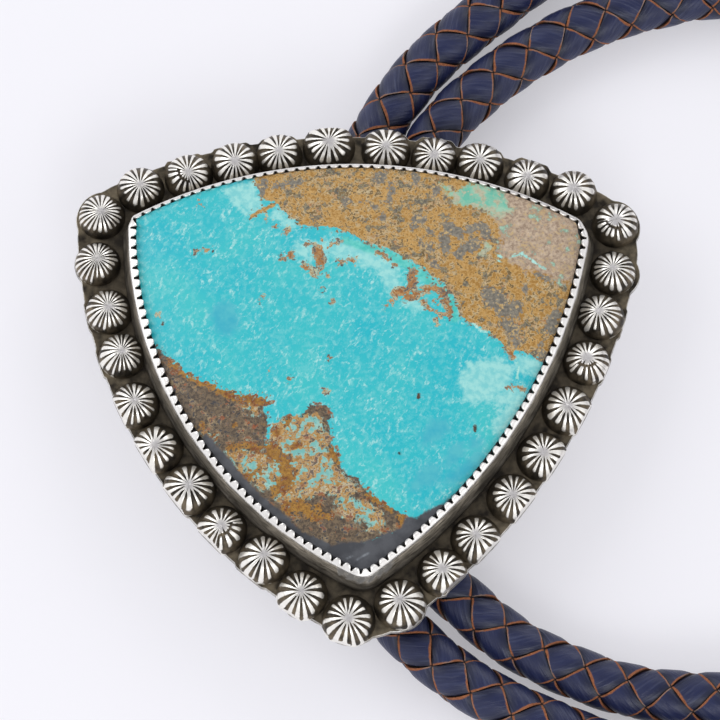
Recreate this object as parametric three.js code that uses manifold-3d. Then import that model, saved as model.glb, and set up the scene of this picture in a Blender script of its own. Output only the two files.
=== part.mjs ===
// A bolo tie: a rounded-triangle stone in a serrated silver bezel, ringed by stamped buttons on a back
// plate, that slides on a braided leather cord with a silver tip on each end. It lies face up on a table.
// Millimetres, +X to the right and +Y up as the tie is seen, +Z up from the table. The origin is on the
// table, under the middle of the back plate.
import * as THREE from "three";
import { mergeVertices } from "three/addons/utils/BufferGeometryUtils.js";
import Module from "manifold-3d";

// Clearance between neighbouring pieces.
const fitGap = 0.3;
// How deep a soldered piece reaches into the one that carries it.
const solderDepth = 0.2;

// The bezel's shoulder, the outline where its teeth begin: its overall width and length, and three rounded
// corners. Each corner has the radius of the long bowed side that leads clockwise to the next corner. Its
// place is from the stone's middle: x is a share of the width and y of the length. Radii are shares of
// the width.
const bezelWidth = 58;
const bezelLength = 53.6;
const bezelCorners = [
  { name: "top left", x: -0.472, y: 0.293, radius: 0.026, sideRadius: 1.0 },
  { name: "top right", x: 0.443, y: 0.265, radius: 0.048, sideRadius: 1.14 },
  { name: "bottom", x: 0.005, y: -0.502, radius: 0.041, sideRadius: 0.86 },
].map((corner) => ({
  x: corner.x * bezelWidth,
  y: corner.y * bezelLength,
  radius: corner.radius * bezelWidth,
  sideRadius: corner.sideRadius * bezelWidth,
}));

// Bezel wall, which leans in towards its shoulder, and the teeth bent over the stone's edge.
const bezelWall = 0.35;
const bezelHeight = 4.0;
const bezelLean = 0.75;
const toothPitch = 1.35;
const toothReach = 0.85;
const toothRise = 0.55;
const toothThickness = 0.35;
const notchReach = 0.1;
const notchRise = 0.08;

// Back plate and its scalloped edge.
const plateThickness = 1.0;
const plateRim = 0.25;
const scallopInnerReach = 2.2;
const pointsPerScallop = 8;

// Stamped buttons: their line lies outside the bezel's shoulder, with longer corners and flatter sides.
const buttonDiameter = 6.2;
const buttonHeight = 2.6;
const buttonSides = 14;
const rowOffset = 3.5;
const rowCornerReach = 0.9;
const rowSideFlattening = 6;
const buttonSpacing = 6.35;

// Stone: a low dome on a body that leans with the bezel wall.
const stoneRise = 2.2;
const stoneShoulderDrop = 0.45;
const domeRings = 5;
const domeFullness = 2.6;

// Braided cord.
const cordDiameter = 6.4;
const cordSides = 10;
const cordSteps = 80;

// Sleeve clip behind the plate, one flat tube that both strands pass through side by side.
const clipSheet = 0.9;
const clipLength = 24;
const clipCornerRadius = 3.2;
const strandGap = 0.3;

// Cord tips: tapered, with a socket for the cord.
const tipWall = 0.6;
const tipLength = 40;
const tipEndDiameter = 3.8;
const tipSocketDepth = 8;
const tipCollarLength = 3;
const tipCollarReach = 0.3;
const tipSides = 16;

// The cord's route from its end in the right tip to its end in the left one: from the lower right through
// the clip, round the neck loop and back through the clip. Each row is x, y and the height of its middle.
// The second point from each end is at the tip's mouth.
const cordRoute = [
  [56.5, -40.1, 4.1],
  [49.5, -39.6, 4.6],
  [33.5, -37.9, 3.3],
  [20.2, -32.3, 3.3],
  [11.8, -25.4, 3.8],
  [5.6, -18.7, 4.3],
  [3.35, -13.5, 4.4],
  [3.35, 0.0, 4.4],
  [3.35, 13.5, 4.4],
  [5.1, 23.8, 4.2],
  [9.9, 34.6, 3.7],
  [17.0, 42.2, 3.3],
  [27.0, 48.9, 3.25],
  [38.2, 53.1, 3.25],
  [50.0, 54.4, 3.25],
  [64.8, 48.2, 3.25],
  [71.2, 32.8, 3.25],
  [71.5, -5.0, 3.25],
  [78.7, -23.3, 3.25],
  [96.0, -30.5, 3.25],
  [113.3, -23.3, 3.25],
  [120.5, -6.0, 3.25],
  [121.8, 16.0, 3.25],
  [118.0, 50.5, 3.25],
  [107.0, 72.5, 3.25],
  [87.5, 85.2, 3.25],
  [63.5, 83.2, 3.25],
  [41.0, 70.2, 3.25],
  [18.8, 53.4, 3.25],
  [8.6, 44.2, 3.4],
  [2.8, 35.7, 3.7],
  [-1.9, 24.0, 4.2],
  [-3.35, 13.5, 4.4],
  [-3.35, 0.0, 4.4],
  [-3.35, -13.5, 4.4],
  [0.0, -22.9, 4.1],
  [11.5, -35.6, 3.4],
  [27.4, -43.9, 3.35],
  [44.5, -49.0, 4.6],
  [51.3, -50.45, 4.1],
];

const plateBottom = 2 * clipSheet + cordDiameter + 3 * fitGap;
const plateTop = plateBottom + plateThickness;

const wasm = await Module();
wasm.setup();

// A closed three.js geometry as a solid that can be joined.
function solidOf(geometry) {
  const bare = geometry.clone();
  bare.deleteAttribute("normal");
  bare.deleteAttribute("uv");
  const merged = mergeVertices(bare, 1e-4);
  return new wasm.Manifold(
    new wasm.Mesh({
      numProp: 3,
      vertProperties: new Float32Array(merged.attributes.position.array),
      triVerts: new Uint32Array(merged.index.array),
    }),
  );
}

function geometryOf(solid) {
  const mesh = solid.getMesh();
  const geometry = new THREE.BufferGeometry();
  geometry.setAttribute("position", new THREE.BufferAttribute(new Float32Array(mesh.vertProperties), 3));
  geometry.setIndex(new THREE.BufferAttribute(new Uint32Array(mesh.triVerts), 1));
  geometry.computeVertexNormals();
  return geometry;
}

// The clockwise angle from one direction to another, in radians.
function clockwise(from, to) {
  const turn = (from - to) % (2 * Math.PI);
  return turn < 0 ? turn + 2 * Math.PI : turn;
}

// The six arcs of a rounded triangle, clockwise. Each side's circle touches the circles of both its
// corners from outside them, so the outline has no kink.
function roundedTriangle(corners) {
  const sideCentres = corners.map((a, i) => {
    const b = corners[(i + 1) % corners.length];
    const reachA = a.sideRadius - a.radius;
    const reachB = a.sideRadius - b.radius;
    const apart = Math.hypot(b.x - a.x, b.y - a.y);
    const along = (reachA ** 2 - reachB ** 2 + apart ** 2) / (2 * apart);
    const aside = Math.sqrt(reachA ** 2 - along ** 2);
    const ux = (b.x - a.x) / apart;
    const uy = (b.y - a.y) / apart;
    return { x: a.x + ux * along + uy * aside, y: a.y + uy * along - ux * aside };
  });
  const arcs = [];
  corners.forEach((corner, i) => {
    const before = sideCentres[(i + corners.length - 1) % corners.length];
    const after = sideCentres[i];
    const next = corners[(i + 1) % corners.length];
    const start = Math.atan2(corner.y - before.y, corner.x - before.x);
    const turn = Math.atan2(corner.y - after.y, corner.x - after.x);
    const end = Math.atan2(next.y - after.y, next.x - after.x);
    const sweep = clockwise(start, turn);
    const sideSweep = clockwise(turn, end);
    arcs.push({ x: corner.x, y: corner.y, radius: corner.radius, start, sweep });
    arcs.push({ x: after.x, y: after.y, radius: corner.sideRadius, start: turn, sweep: sideSweep });
  });
  return arcs;
}

// The same outline grown outwards by an offset.
const grown = (arcs, offset) => arcs.map((arc) => ({ ...arc, radius: arc.radius + offset }));

const lengthOf = (arcs) => arcs.reduce((sum, arc) => sum + arc.radius * arc.sweep, 0);

// The point at a distance along the outline, with its outward direction.
function stationAt(arcs, distance) {
  const total = lengthOf(arcs);
  let left = ((distance % total) + total) % total;
  for (const arc of arcs) {
    const long = arc.radius * arc.sweep;
    if (left <= long) {
      const angle = arc.start - left / arc.radius;
      const nx = Math.cos(angle);
      const ny = Math.sin(angle);
      return { x: arc.x + nx * arc.radius, y: arc.y + ny * arc.radius, nx, ny };
    }
    left -= long;
  }
  return stationAt(arcs, 0);
}

// Evenly spaced stations all the way round.
function stationsAround(arcs, count) {
  const step = lengthOf(arcs) / count;
  return Array.from({ length: count }, (_, i) => stationAt(arcs, i * step));
}

const outward = (station, reach) => [station.x + station.nx * reach, station.y + station.ny * reach];

// A mesh whose rows of points are joined into a skin. Every row runs the same way and closes on itself.
function skin(rows, closed, capped) {
  const across = rows[0].length;
  const index = [];
  const last = closed ? rows.length : rows.length - 1;
  for (let i = 0; i < last; i++) {
    for (let j = 0; j < across; j++) {
      const a = i * across + j;
      const b = i * across + ((j + 1) % across);
      const c = ((i + 1) % rows.length) * across + j;
      const d = ((i + 1) % rows.length) * across + ((j + 1) % across);
      index.push(a, c, b, b, c, d);
    }
  }
  const points = rows.flat();
  if (capped) {
    [0, rows.length - 1].forEach((row, end) => {
      const middle = points.length;
      const ring = rows[row];
      points.push([0, 1, 2].map((k) => ring.reduce((sum, p) => sum + p[k], 0) / across));
      for (let j = 0; j < across; j++) {
        const a = row * across + j;
        const b = row * across + ((j + 1) % across);
        index.push(...(end ? [a, middle, b] : [a, b, middle]));
      }
    });
  }
  const geometry = new THREE.BufferGeometry();
  geometry.setAttribute("position", new THREE.Float32BufferAttribute(points.flat(), 3));
  geometry.setIndex(index);
  geometry.computeVertexNormals();
  return geometry;
}

// The buttons' line: the bezel's outline with its corners moved out and its sides flattened.
function buttonLine() {
  const middle = {
    x: bezelCorners.reduce((sum, corner) => sum + corner.x, 0) / bezelCorners.length,
    y: bezelCorners.reduce((sum, corner) => sum + corner.y, 0) / bezelCorners.length,
  };
  const corners = bezelCorners.map((corner) => {
    const away = Math.hypot(corner.x - middle.x, corner.y - middle.y);
    return {
      x: corner.x + ((corner.x - middle.x) / away) * rowCornerReach,
      y: corner.y + ((corner.y - middle.y) / away) * rowCornerReach,
      radius: corner.radius,
      sideRadius: corner.sideRadius + rowSideFlattening,
    };
  });
  return grown(roundedTriangle(corners), rowOffset);
}

// Even steps of about the buttons' spacing from one distance along their line to another.
function evenSteps(from, to) {
  const count = Math.round((to - from) / buttonSpacing);
  return Array.from({ length: count }, (_, i) => from + ((to - from) * i) / count);
}

// Distances along the buttons' line of the buttons: one in the middle of each top corner, with even
// steps along the top between them, and even steps from there round the bottom point.
function buttonDistances(line) {
  const long = line.map((arc) => arc.radius * arc.sweep);
  const left = long[0] / 2;
  const right = long[0] + long[1] + long[2] / 2;
  return [...evenSteps(left, right), ...evenSteps(right, lengthOf(line) + left)];
}

// The plate's edge: a short arc round each button, and a straight reach between two of them.
function plateOutline(line, distances) {
  const total = lengthOf(line);
  const scallop = buttonDiameter / 2 + plateRim;
  return distances.flatMap((here, i) => {
    const next = i + 1 < distances.length ? distances[i + 1] : distances[0] + total;
    return Array.from({ length: pointsPerScallop }, (_, k) => {
      const at = here + ((next - here) * k) / pointsPerScallop;
      const off = Math.min(at - here, next - at);
      const round = Math.sqrt(Math.max(scallop ** 2 - off ** 2, 0));
      return outward(stationAt(line, at), Math.max(round, scallopInnerReach));
    });
  });
}

function plateGeometry(outline) {
  const shape = new THREE.Shape(outline.map(([x, y]) => new THREE.Vector2(x, y)));
  const geometry = new THREE.ExtrudeGeometry(shape, { depth: plateThickness, bevelEnabled: false });
  return geometry.translate(0, 0, plateBottom);
}

// A stamped dome, with its foot sunk into the plate.
function buttonGeometry(station) {
  const radius = buttonDiameter / 2;
  const profile = [
    new THREE.Vector2(0, -solderDepth),
    new THREE.Vector2(radius, -solderDepth),
    new THREE.Vector2(radius * 0.92, buttonHeight * 0.45),
    new THREE.Vector2(radius * 0.56, buttonHeight * 0.86),
    new THREE.Vector2(0, buttonHeight),
  ];
  const geometry = new THREE.LatheGeometry(profile, buttonSides);
  return geometry.rotateX(Math.PI / 2).translate(station.x, station.y, plateTop);
}

const toothCountOf = (shoulder) => Math.round(lengthOf(shoulder) / toothPitch);

// The bezel: a ring whose section is the leaning wall, with a tooth or a notch at every other station.
function bezelGeometry(shoulder) {
  const rows = stationsAround(shoulder, 2 * toothCountOf(shoulder)).map((station, i) => {
    const tooth = i % 2 === 0;
    const reach = tooth ? toothReach : notchReach;
    const rise = tooth ? toothRise : notchRise;
    const section = [
      [bezelLean - bezelWall, -solderDepth],
      [-bezelWall, bezelHeight - toothThickness],
      [-Math.max(reach, bezelWall), bezelHeight + rise - toothThickness],
      [-reach, bezelHeight + rise],
      [0, bezelHeight],
      [bezelLean, -solderDepth],
    ];
    return section.map(([off, z]) => [...outward(station, off), plateTop + z]);
  });
  return skin(rows, true, false);
}

// The stone: a leaning body under the bezel's teeth, and a dome of rings that shrink to its middle.
function stoneGeometry(shoulder) {
  const edge = stationsAround(shoulder, toothCountOf(shoulder));
  const wallClear = bezelWall + fitGap;
  const middle = [0, 1].map((k) => edge.reduce((sum, s) => sum + (k ? s.y : s.x), 0) / edge.length);
  const foot = edge.map((s) => [...outward(s, bezelLean - wallClear), plateTop + fitGap]);
  const shoulderHeight = plateTop + bezelHeight - stoneShoulderDrop;
  const dome = Array.from({ length: domeRings }, (_, i) => {
    const share = 1 - i / domeRings;
    const height = shoulderHeight + stoneRise * (1 - share ** domeFullness);
    return edge.map((s) => {
      const [x, y] = outward(s, -wallClear);
      return [middle[0] + (x - middle[0]) * share, middle[1] + (y - middle[1]) * share, height];
    });
  });
  return skin([foot, ...dome], false, true);
}

// A rectangle with round corners as a shape or as a hole.
function roundedBox(target, width, height, radius) {
  const x = width / 2;
  const y = height / 2;
  target.moveTo(x - radius, -y);
  target.absarc(x - radius, -y + radius, radius, -Math.PI / 2, 0, false);
  target.absarc(x - radius, y - radius, radius, 0, Math.PI / 2, false);
  target.absarc(-x + radius, y - radius, radius, Math.PI / 2, Math.PI, false);
  target.absarc(-x + radius, -y + radius, radius, Math.PI, 1.5 * Math.PI, false);
  return target;
}

// The clip: a flat sleeve round both strands, under the plate.
function clipGeometry() {
  const innerWidth = 2 * cordDiameter + strandGap + 2 * fitGap;
  const innerHeight = cordDiameter + 2 * fitGap;
  const outer = [innerWidth + 2 * clipSheet, innerHeight + 2 * clipSheet];
  const shape = roundedBox(new THREE.Shape(), outer[0], outer[1], clipCornerRadius);
  shape.holes.push(roundedBox(new THREE.Path(), innerWidth, innerHeight, clipCornerRadius - clipSheet));
  const settings = { depth: clipLength, bevelEnabled: false, curveSegments: 5 };
  const geometry = new THREE.ExtrudeGeometry(shape, settings);
  return geometry.rotateX(Math.PI / 2).translate(0, clipLength / 2, outer[1] / 2);
}

// A tip along +X from its mouth: a collar, a long taper and a round end, with a socket in the mouth.
function tipGeometry() {
  const socket = cordDiameter / 2 + fitGap;
  const body = socket + tipWall;
  const end = tipEndDiameter / 2;
  const profile = [
    [0, tipSocketDepth],
    [socket, tipSocketDepth],
    [socket, 0],
    [body + tipCollarReach, 0],
    [body + tipCollarReach, tipCollarLength],
    [body, tipCollarLength],
    [end, tipLength - end],
    [end * 0.7, tipLength - end * 0.3],
    [0, tipLength],
  ];
  const points = profile.map(([radius, along]) => new THREE.Vector2(radius, along));
  return new THREE.LatheGeometry(points, tipSides).rotateZ(-Math.PI / 2);
}

// The braid's solid form: a plain tube along the route.
function cordGeometry() {
  const route = new THREE.CatmullRomCurve3(
    cordRoute.map(([x, y, z]) => new THREE.Vector3(x, y, z)),
    false,
    "centripetal",
  );
  route.arcLengthDivisions = 2000;
  const section = new THREE.Shape(
    Array.from({ length: cordSides }, (_, i) => {
      const angle = (2 * Math.PI * i) / cordSides;
      return new THREE.Vector2(Math.cos(angle), Math.sin(angle)).multiplyScalar(cordDiameter / 2);
    }),
  );
  return new THREE.ExtrudeGeometry(section, { steps: cordSteps, bevelEnabled: false, extrudePath: route });
}

const finishes = {
  silver: { color: 0xb9b5ae, roughness: 0.35, metalness: 1 },
  turquoise: { color: 0x53c4c8, roughness: 0.35, metalness: 0 },
  nickel: { color: 0xa9a9a6, roughness: 0.4, metalness: 1 },
  leather: { color: 0x2b3150, roughness: 0.5, metalness: 0 },
};

function piece(name, geometry, finish) {
  const mesh = new THREE.Mesh(geometry, new THREE.MeshStandardMaterial(finishes[finish]));
  mesh.name = name;
  return mesh;
}

const shoulder = roundedTriangle(bezelCorners);
const line = buttonLine();
const distances = buttonDistances(line);
const outline = plateOutline(line, distances);

// The plate, the bezel and every button soldered into one.
const soldered = distances.reduce(
  (solid, distance) => solid.add(solidOf(buttonGeometry(stationAt(line, distance)))),
  solidOf(plateGeometry(outline)).add(solidOf(bezelGeometry(shoulder))),
);

const plateMiddle = [0, 1].map((k) => {
  const values = outline.map((point) => point[k]);
  return (Math.min(...values) + Math.max(...values)) / 2;
});

// The slide's pieces are drawn about the stone's middle, and put down with the plate's middle at the
// origin.
const slide = new THREE.Group();
slide.position.set(-plateMiddle[0], -plateMiddle[1], 0);
slide.add(piece("setting", geometryOf(soldered), "silver"));
slide.add(piece("stone", stoneGeometry(shoulder), "turquoise"));

const boloTie = new THREE.Group();
boloTie.add(slide);
boloTie.add(piece("back_clip", clipGeometry(), "nickel"));
boloTie.add(piece("cord", cordGeometry(), "leather"));

// Each tip lies on its collar and its end, so its axis dips from the mouth to the end. It points the way
// that the cord's last stretch does.
const collarRadius = cordDiameter / 2 + fitGap + tipWall + tipCollarReach;
const endRadius = tipEndDiameter / 2;
const tipDip = Math.atan((collarRadius - endRadius) / (tipLength - endRadius - tipCollarLength));
const mouthHeight = collarRadius * Math.cos(tipDip) + tipCollarLength * Math.sin(tipDip);
const tips = [
  { name: "tip_right", mouth: cordRoute.at(1), end: cordRoute.at(0) },
  { name: "tip_left", mouth: cordRoute.at(-2), end: cordRoute.at(-1) },
];
tips.forEach(({ name, mouth, end }) => {
  const tip = piece(name, tipGeometry(), "silver");
  tip.rotation.set(0, tipDip, Math.atan2(end[1] - mouth[1], end[0] - mouth[0]), "ZYX");
  tip.position.set(mouth[0], mouth[1], mouthHeight);
  boloTie.add(tip);
});

export default boloTie;
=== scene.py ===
import math

import bmesh
import bpy
import numpy as np
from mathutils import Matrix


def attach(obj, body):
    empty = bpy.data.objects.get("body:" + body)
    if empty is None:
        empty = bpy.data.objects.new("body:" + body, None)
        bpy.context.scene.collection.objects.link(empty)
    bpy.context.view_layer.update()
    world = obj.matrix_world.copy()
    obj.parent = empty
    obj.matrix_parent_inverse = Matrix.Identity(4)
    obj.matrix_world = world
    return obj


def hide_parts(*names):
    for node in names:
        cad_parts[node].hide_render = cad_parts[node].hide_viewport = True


# A bolo tie that lies face up on a pale table. Points and sizes are in millimetres until a mesh is made.
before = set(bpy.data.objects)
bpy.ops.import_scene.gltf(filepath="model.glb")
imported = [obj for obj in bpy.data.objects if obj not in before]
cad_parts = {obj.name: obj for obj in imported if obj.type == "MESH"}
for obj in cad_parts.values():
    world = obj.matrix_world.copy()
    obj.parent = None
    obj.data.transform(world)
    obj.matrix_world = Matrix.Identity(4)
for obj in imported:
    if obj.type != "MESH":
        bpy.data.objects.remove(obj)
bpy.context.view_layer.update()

# Buttons
# Thirty-one round buttons, punched from silver sheet over a ray stamp and soldered in a row round the
# bezel. Their rays are buffed bright, and the grooves and flanks are left black with oxide; on the
# bezel's side the flanks are painted darker still, as painted shade.

PLATE_BOTTOM = 9.1
PLATE_TOP = 10.1
DRAWING_ORIGIN = np.array([0.3335, 3.0941])

# The view: a long lens, high in front. The picture is square, and is this many pixels across.
IMAGE_SIZE = 720
VIEW_TARGET = np.array([*DRAWING_ORIGIN, 9.0])
VIEW_ELEVATION = math.radians(72.5)
VIEW_DISTANCE = 620.0
VIEW_LENS = 248.0
SENSOR = 36.0
VIEW_AHEAD = np.array([0, math.cos(VIEW_ELEVATION), -math.sin(VIEW_ELEVATION)])
VIEW_ABOVE = np.array([0, math.sin(VIEW_ELEVATION), math.cos(VIEW_ELEVATION)])
VIEW_EYE = VIEW_TARGET - VIEW_DISTANCE * VIEW_AHEAD
PIXELS_PER_SLOPE = VIEW_LENS / SENSOR * IMAGE_SIZE

# The bezel's shoulder: centre and radius of each corner, and the radius of the side that follows it.
BEZEL_WIDTH, BEZEL_LENGTH = 58.0, 53.6
SHOULDER_CORNERS = np.array([
    (-0.472 * BEZEL_WIDTH, 0.293 * BEZEL_LENGTH, 0.026 * BEZEL_WIDTH, 1.00 * BEZEL_WIDTH),
    (0.443 * BEZEL_WIDTH, 0.265 * BEZEL_LENGTH, 0.048 * BEZEL_WIDTH, 1.14 * BEZEL_WIDTH),
    (0.005 * BEZEL_WIDTH, -0.502 * BEZEL_LENGTH, 0.041 * BEZEL_WIDTH, 0.86 * BEZEL_WIDTH),
])
ROW_OFFSET, ROW_CORNER_REACH, ROW_SIDE_FLATTENING = 3.5, 0.9, 6.0
FILED_SIDE, ROUND_CORNER = 2.62, 3.5

BUTTON_HEIGHT = 2.6
GROOVE_DEPTH = 0.2
# The arc that a second strike leaves: how far out it lies, as a share of the radius, and how far it goes
# each way, in turns.
SCAR_RADIUS, SCAR_SPREAD = 0.36, 0.17
# Each button as the photograph shows it: the pixel of its star's centre, its diameter in pixels, its
# number of rays, how far its star is turned, in shares of a ray, how much of its radius is worn plain,
# and the direction, in turns, of a second strike of the stamp, if there was one.
STAMPED_BUTTONS = [
    (101, 211, 46, 22, 0.2, 0.24, None), (140, 184, 47, 17, 0.6, 0.16, None),
    (188, 171.5, 48, 17, 0.1, 0.2, 0.62), (235, 160, 48, 17, 0.4, 0.26, None),
    (279, 150, 46, 15, 0.9, 0.2, None), (329, 140, 52, 16, 0.3, 0.28, None),
    (386, 145, 49, 16, 0, 0.22, None), (434, 154, 46, 16, 0.7, 0.26, None),
    (480, 159, 48, 15, 0.5, 0.2, None), (527, 176, 44, 15, 0.2, 0.24, None),
    (574, 187, 47, 15, 0.8, 0.34, None), (616, 219, 46, 16, 0.4, 0.42, 0.68),
    (613, 267, 45, 18, 0.1, 0.18, None), (598, 310, 47, 17, 0.6, 0.22, None),
    (587, 357, 46, 16, 0.3, 0.3, 0.75), (568, 405, 50, 15, 0.9, 0.26, None),
    (544, 452, 50, 15, 0.5, 0.26, None), (513.5, 494, 50, 16, 0, 0.24, None),
    (476, 534, 49, 15, 0.7, 0.22, None), (443, 568, 49, 15, 0.2, 0.24, None),
    (400, 599, 51, 15, 0.5, 0.22, None), (348, 618, 52, 16, 0.1, 0.22, None),
    (301, 591, 50, 15, 0.8, 0.2, None), (264, 554, 50, 15, 0.4, 0.22, None),
    (221, 525, 49, 15, 0.6, 0.26, 0.88), (189, 484, 53, 15, 0.2, 0.24, None),
    (154, 445, 50, 15, 0.9, 0.28, None), (134.5, 400, 48, 17, 0.3, 0.2, None),
    (122, 350, 46, 19, 0.7, 0.18, None), (108, 306, 46, 20, 0, 0.22, None),
    (97, 258, 44, 21, 0.5, 0.12, None),
]
# Millimetres for a pixel of a button's diameter, with the black foot that its outline hides.
BUTTON_MM_PER_PIXEL = 0.129


def linear(hexed):
    """An sRGB hex value as linear red, green, blue and alpha 1."""
    parts = np.array([int(hexed[i:i + 2], 16) for i in (1, 3, 5)]) / 255
    low, high = parts / 12.92, ((parts + 0.055) / 1.055) ** 2.4
    return (*np.where(parts <= 0.04045, low, high).tolist(), 1.0)


def add_node(tree, kind, inputs=None, out=0, **settings):
    """Adds one shader node: its settings, and its inputs as links, values or hex colours. Returns its
    output with this number or name."""
    made = tree.nodes.new("ShaderNode" + kind)
    for name, value in settings.items():
        setattr(made, name, value)
    for socket, value in (inputs or {}).items():
        if isinstance(value, bpy.types.NodeSocket):
            tree.links.new(value, made.inputs[socket])
        else:
            made.inputs[socket].default_value = linear(value) if isinstance(value, str) else value
    return made.outputs[out]


def new_material(name, **uniform):
    """An empty node material with its output and its principled shader, and the values that are the
    same all over the surface."""
    material = bpy.data.materials.new(name)
    material.use_nodes = True
    tree = material.node_tree
    tree.nodes.clear()
    surface = add_node(tree, "BsdfPrincipled")
    tree.links.new(surface, tree.nodes.new("ShaderNodeOutputMaterial").inputs["Surface"])
    for socket, value in uniform.items():
        surface.node.inputs[socket.replace("_", " ")].default_value = value
    return material, tree, surface.node


def wire_up(tree, shader, **patterns):
    """Links patterns to the shader's sockets, which are named with _ for a space."""
    for socket, pattern in patterns.items():
        tree.links.new(pattern, shader.inputs[socket.replace("_", " ")])


def add_surface(name, grids, material, ring=False, capped=False, sharp=40.0, weld=False):
    """One piece from grids of points. A grid is (points, attributes): points are rows x columns x 3 in
    millimetres, and each attribute has a number for every point. Neighbours are joined by quads,
    each row closes on itself, and a ring's last row joins its first. The sum of each face's corner
    times its normal is negative on a skin that is inside out, and such a grid is turned round."""
    spots, corners, sizes, layers, base = [], [], [], {}, 0
    for points, attributes in grids:
        rows, columns = points.shape[:2]
        index = base + np.arange(rows * columns).reshape(rows, columns)
        here = index if ring else index[:-1]
        down = np.roll(index, -1, axis=0) if ring else index[1:]
        quads = np.stack([here, np.roll(here, -1, axis=1), np.roll(down, -1, axis=1), down], axis=-1)
        a, b, c, d = (points.reshape(-1, 3)[quads.reshape(-1, 4)[:, k] - base] for k in range(4))
        normals = np.cross(b - a, c - a) + np.cross(c - a, d - a)
        turn = -1 if np.sum(normals * (a - points[0, 0])) < 0 else 1
        corners.append(quads.reshape(-1, 4)[:, ::turn].reshape(-1))
        sizes.append(np.full(quads.size // 4, 4))
        if capped:
            corners += [index[0, ::-turn], index[-1, ::turn]]
            sizes.append(np.array([columns, columns]))
        spots.append(points.reshape(-1, 3))
        for key, values in attributes.items():
            layers.setdefault(key, []).append(np.broadcast_to(values, (rows, columns)).reshape(-1))
        base += rows * columns
    spots, corners, sizes = np.concatenate(spots), np.concatenate(corners), np.concatenate(sizes)
    mesh = bpy.data.meshes.new(name)
    mesh.vertices.add(len(spots))
    mesh.vertices.foreach_set("co", (spots * 0.001).astype(np.float32).reshape(-1))
    mesh.loops.add(len(corners))
    mesh.loops.foreach_set("vertex_index", corners.astype(np.int32))
    mesh.polygons.add(len(sizes))
    mesh.polygons.foreach_set("loop_start", (np.cumsum(sizes) - sizes).astype(np.int32))
    for key, values in layers.items():
        layer = mesh.attributes.new(key, "FLOAT", "POINT")
        layer.data.foreach_set("value", np.concatenate(values).astype(np.float32))
    mesh.update(calc_edges=True)
    if weld:
        build = bmesh.new()
        build.from_mesh(mesh)
        bmesh.ops.remove_doubles(build, verts=build.verts, dist=1e-7)
        build.to_mesh(mesh)
        build.free()
    mesh.validate()
    mesh.set_sharp_from_angle(angle=math.radians(sharp))
    mesh.materials.append(material)
    piece = bpy.data.objects.new(name, mesh)
    bpy.context.scene.collection.objects.link(piece)
    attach(piece, "root")
    return piece


def seen_at(points):
    """Where points are seen, in the photograph's pixels: their steps right and down from the view's
    middle, as shares of their depth times the lens."""
    away = points - VIEW_EYE
    scale = PIXELS_PER_SLOPE / (away @ VIEW_AHEAD)
    return IMAGE_SIZE / 2 + np.stack([away[..., 0] * scale, -(away @ VIEW_ABOVE) * scale], axis=-1)


def lying_at(pixels, height):
    """The points at a height that are seen at these pixels: each line of sight cut by that level."""
    slope = (np.asarray(pixels, float) - IMAGE_SIZE / 2) / PIXELS_PER_SLOPE
    sight = VIEW_AHEAD + slope[..., :1] * np.array([1.0, 0, 0]) - slope[..., 1:] * VIEW_ABOVE
    return VIEW_EYE + sight * ((height - VIEW_EYE[2]) / sight[..., 2:])


def rounded_triangle(corners, offset=0.0):
    """Six arcs, clockwise, as rows of centre, radius, start angle and sweep. A side's circle touches
    both its corners' circles from outside them. An offset is added to every radius."""
    next_corners = np.roll(corners, -1, axis=0)
    across = next_corners[:, :2] - corners[:, :2]
    apart = np.hypot(*across.T)
    reach_a, reach_b = corners[:, 3] - corners[:, 2], corners[:, 3] - next_corners[:, 2]
    along = (reach_a**2 - reach_b**2 + apart**2) / (2 * apart)
    aside = np.sqrt(reach_a**2 - along**2)
    unit = across / apart[:, None]
    centre = corners[:, :2] + unit * along[:, None] + unit[:, ::-1] * (1, -1) * aside[:, None]
    before = corners[:, :2] - np.roll(centre, 1, axis=0)
    turn, end = corners[:, :2] - centre, next_corners[:, :2] - centre
    start, turn, end = (np.arctan2(v[:, 1], v[:, 0]) for v in (before, turn, end))
    corner_arcs = np.column_stack([corners[:, :3], start, (start - turn) % (2 * np.pi)])
    side_arcs = np.column_stack([centre, corners[:, 3], turn, (turn - end) % (2 * np.pi)])
    arcs = np.stack([corner_arcs, side_arcs], axis=1).reshape(-1, 5)
    arcs[:, 2] += offset
    return arcs


def stations(arcs, distance):
    """Points at distances along the arcs and their outward directions: the angle that each has gone
    along its own arc from where the arc starts."""
    long = arcs[:, 2] * arcs[:, 4]
    ends = np.cumsum(long)
    distance = np.asarray(distance) % ends[-1]
    arc = np.minimum(np.searchsorted(ends, distance), len(arcs) - 1)
    angle = arcs[arc, 3] - (distance - ends[arc] + long[arc]) / arcs[arc, 2]
    outward = np.stack([np.cos(angle), np.sin(angle)], axis=-1)
    return arcs[arc, :2] + outward * arcs[arc, 2:3] + DRAWING_ORIGIN, outward


def smooth_step(value, low, high):
    """0 below low, 1 above high, and the cubic 3t^2 - 2t^3 between them."""
    t = np.clip((value - low) / (high - low), 0, 1)
    return t * t * (3 - 2 * t)


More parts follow.
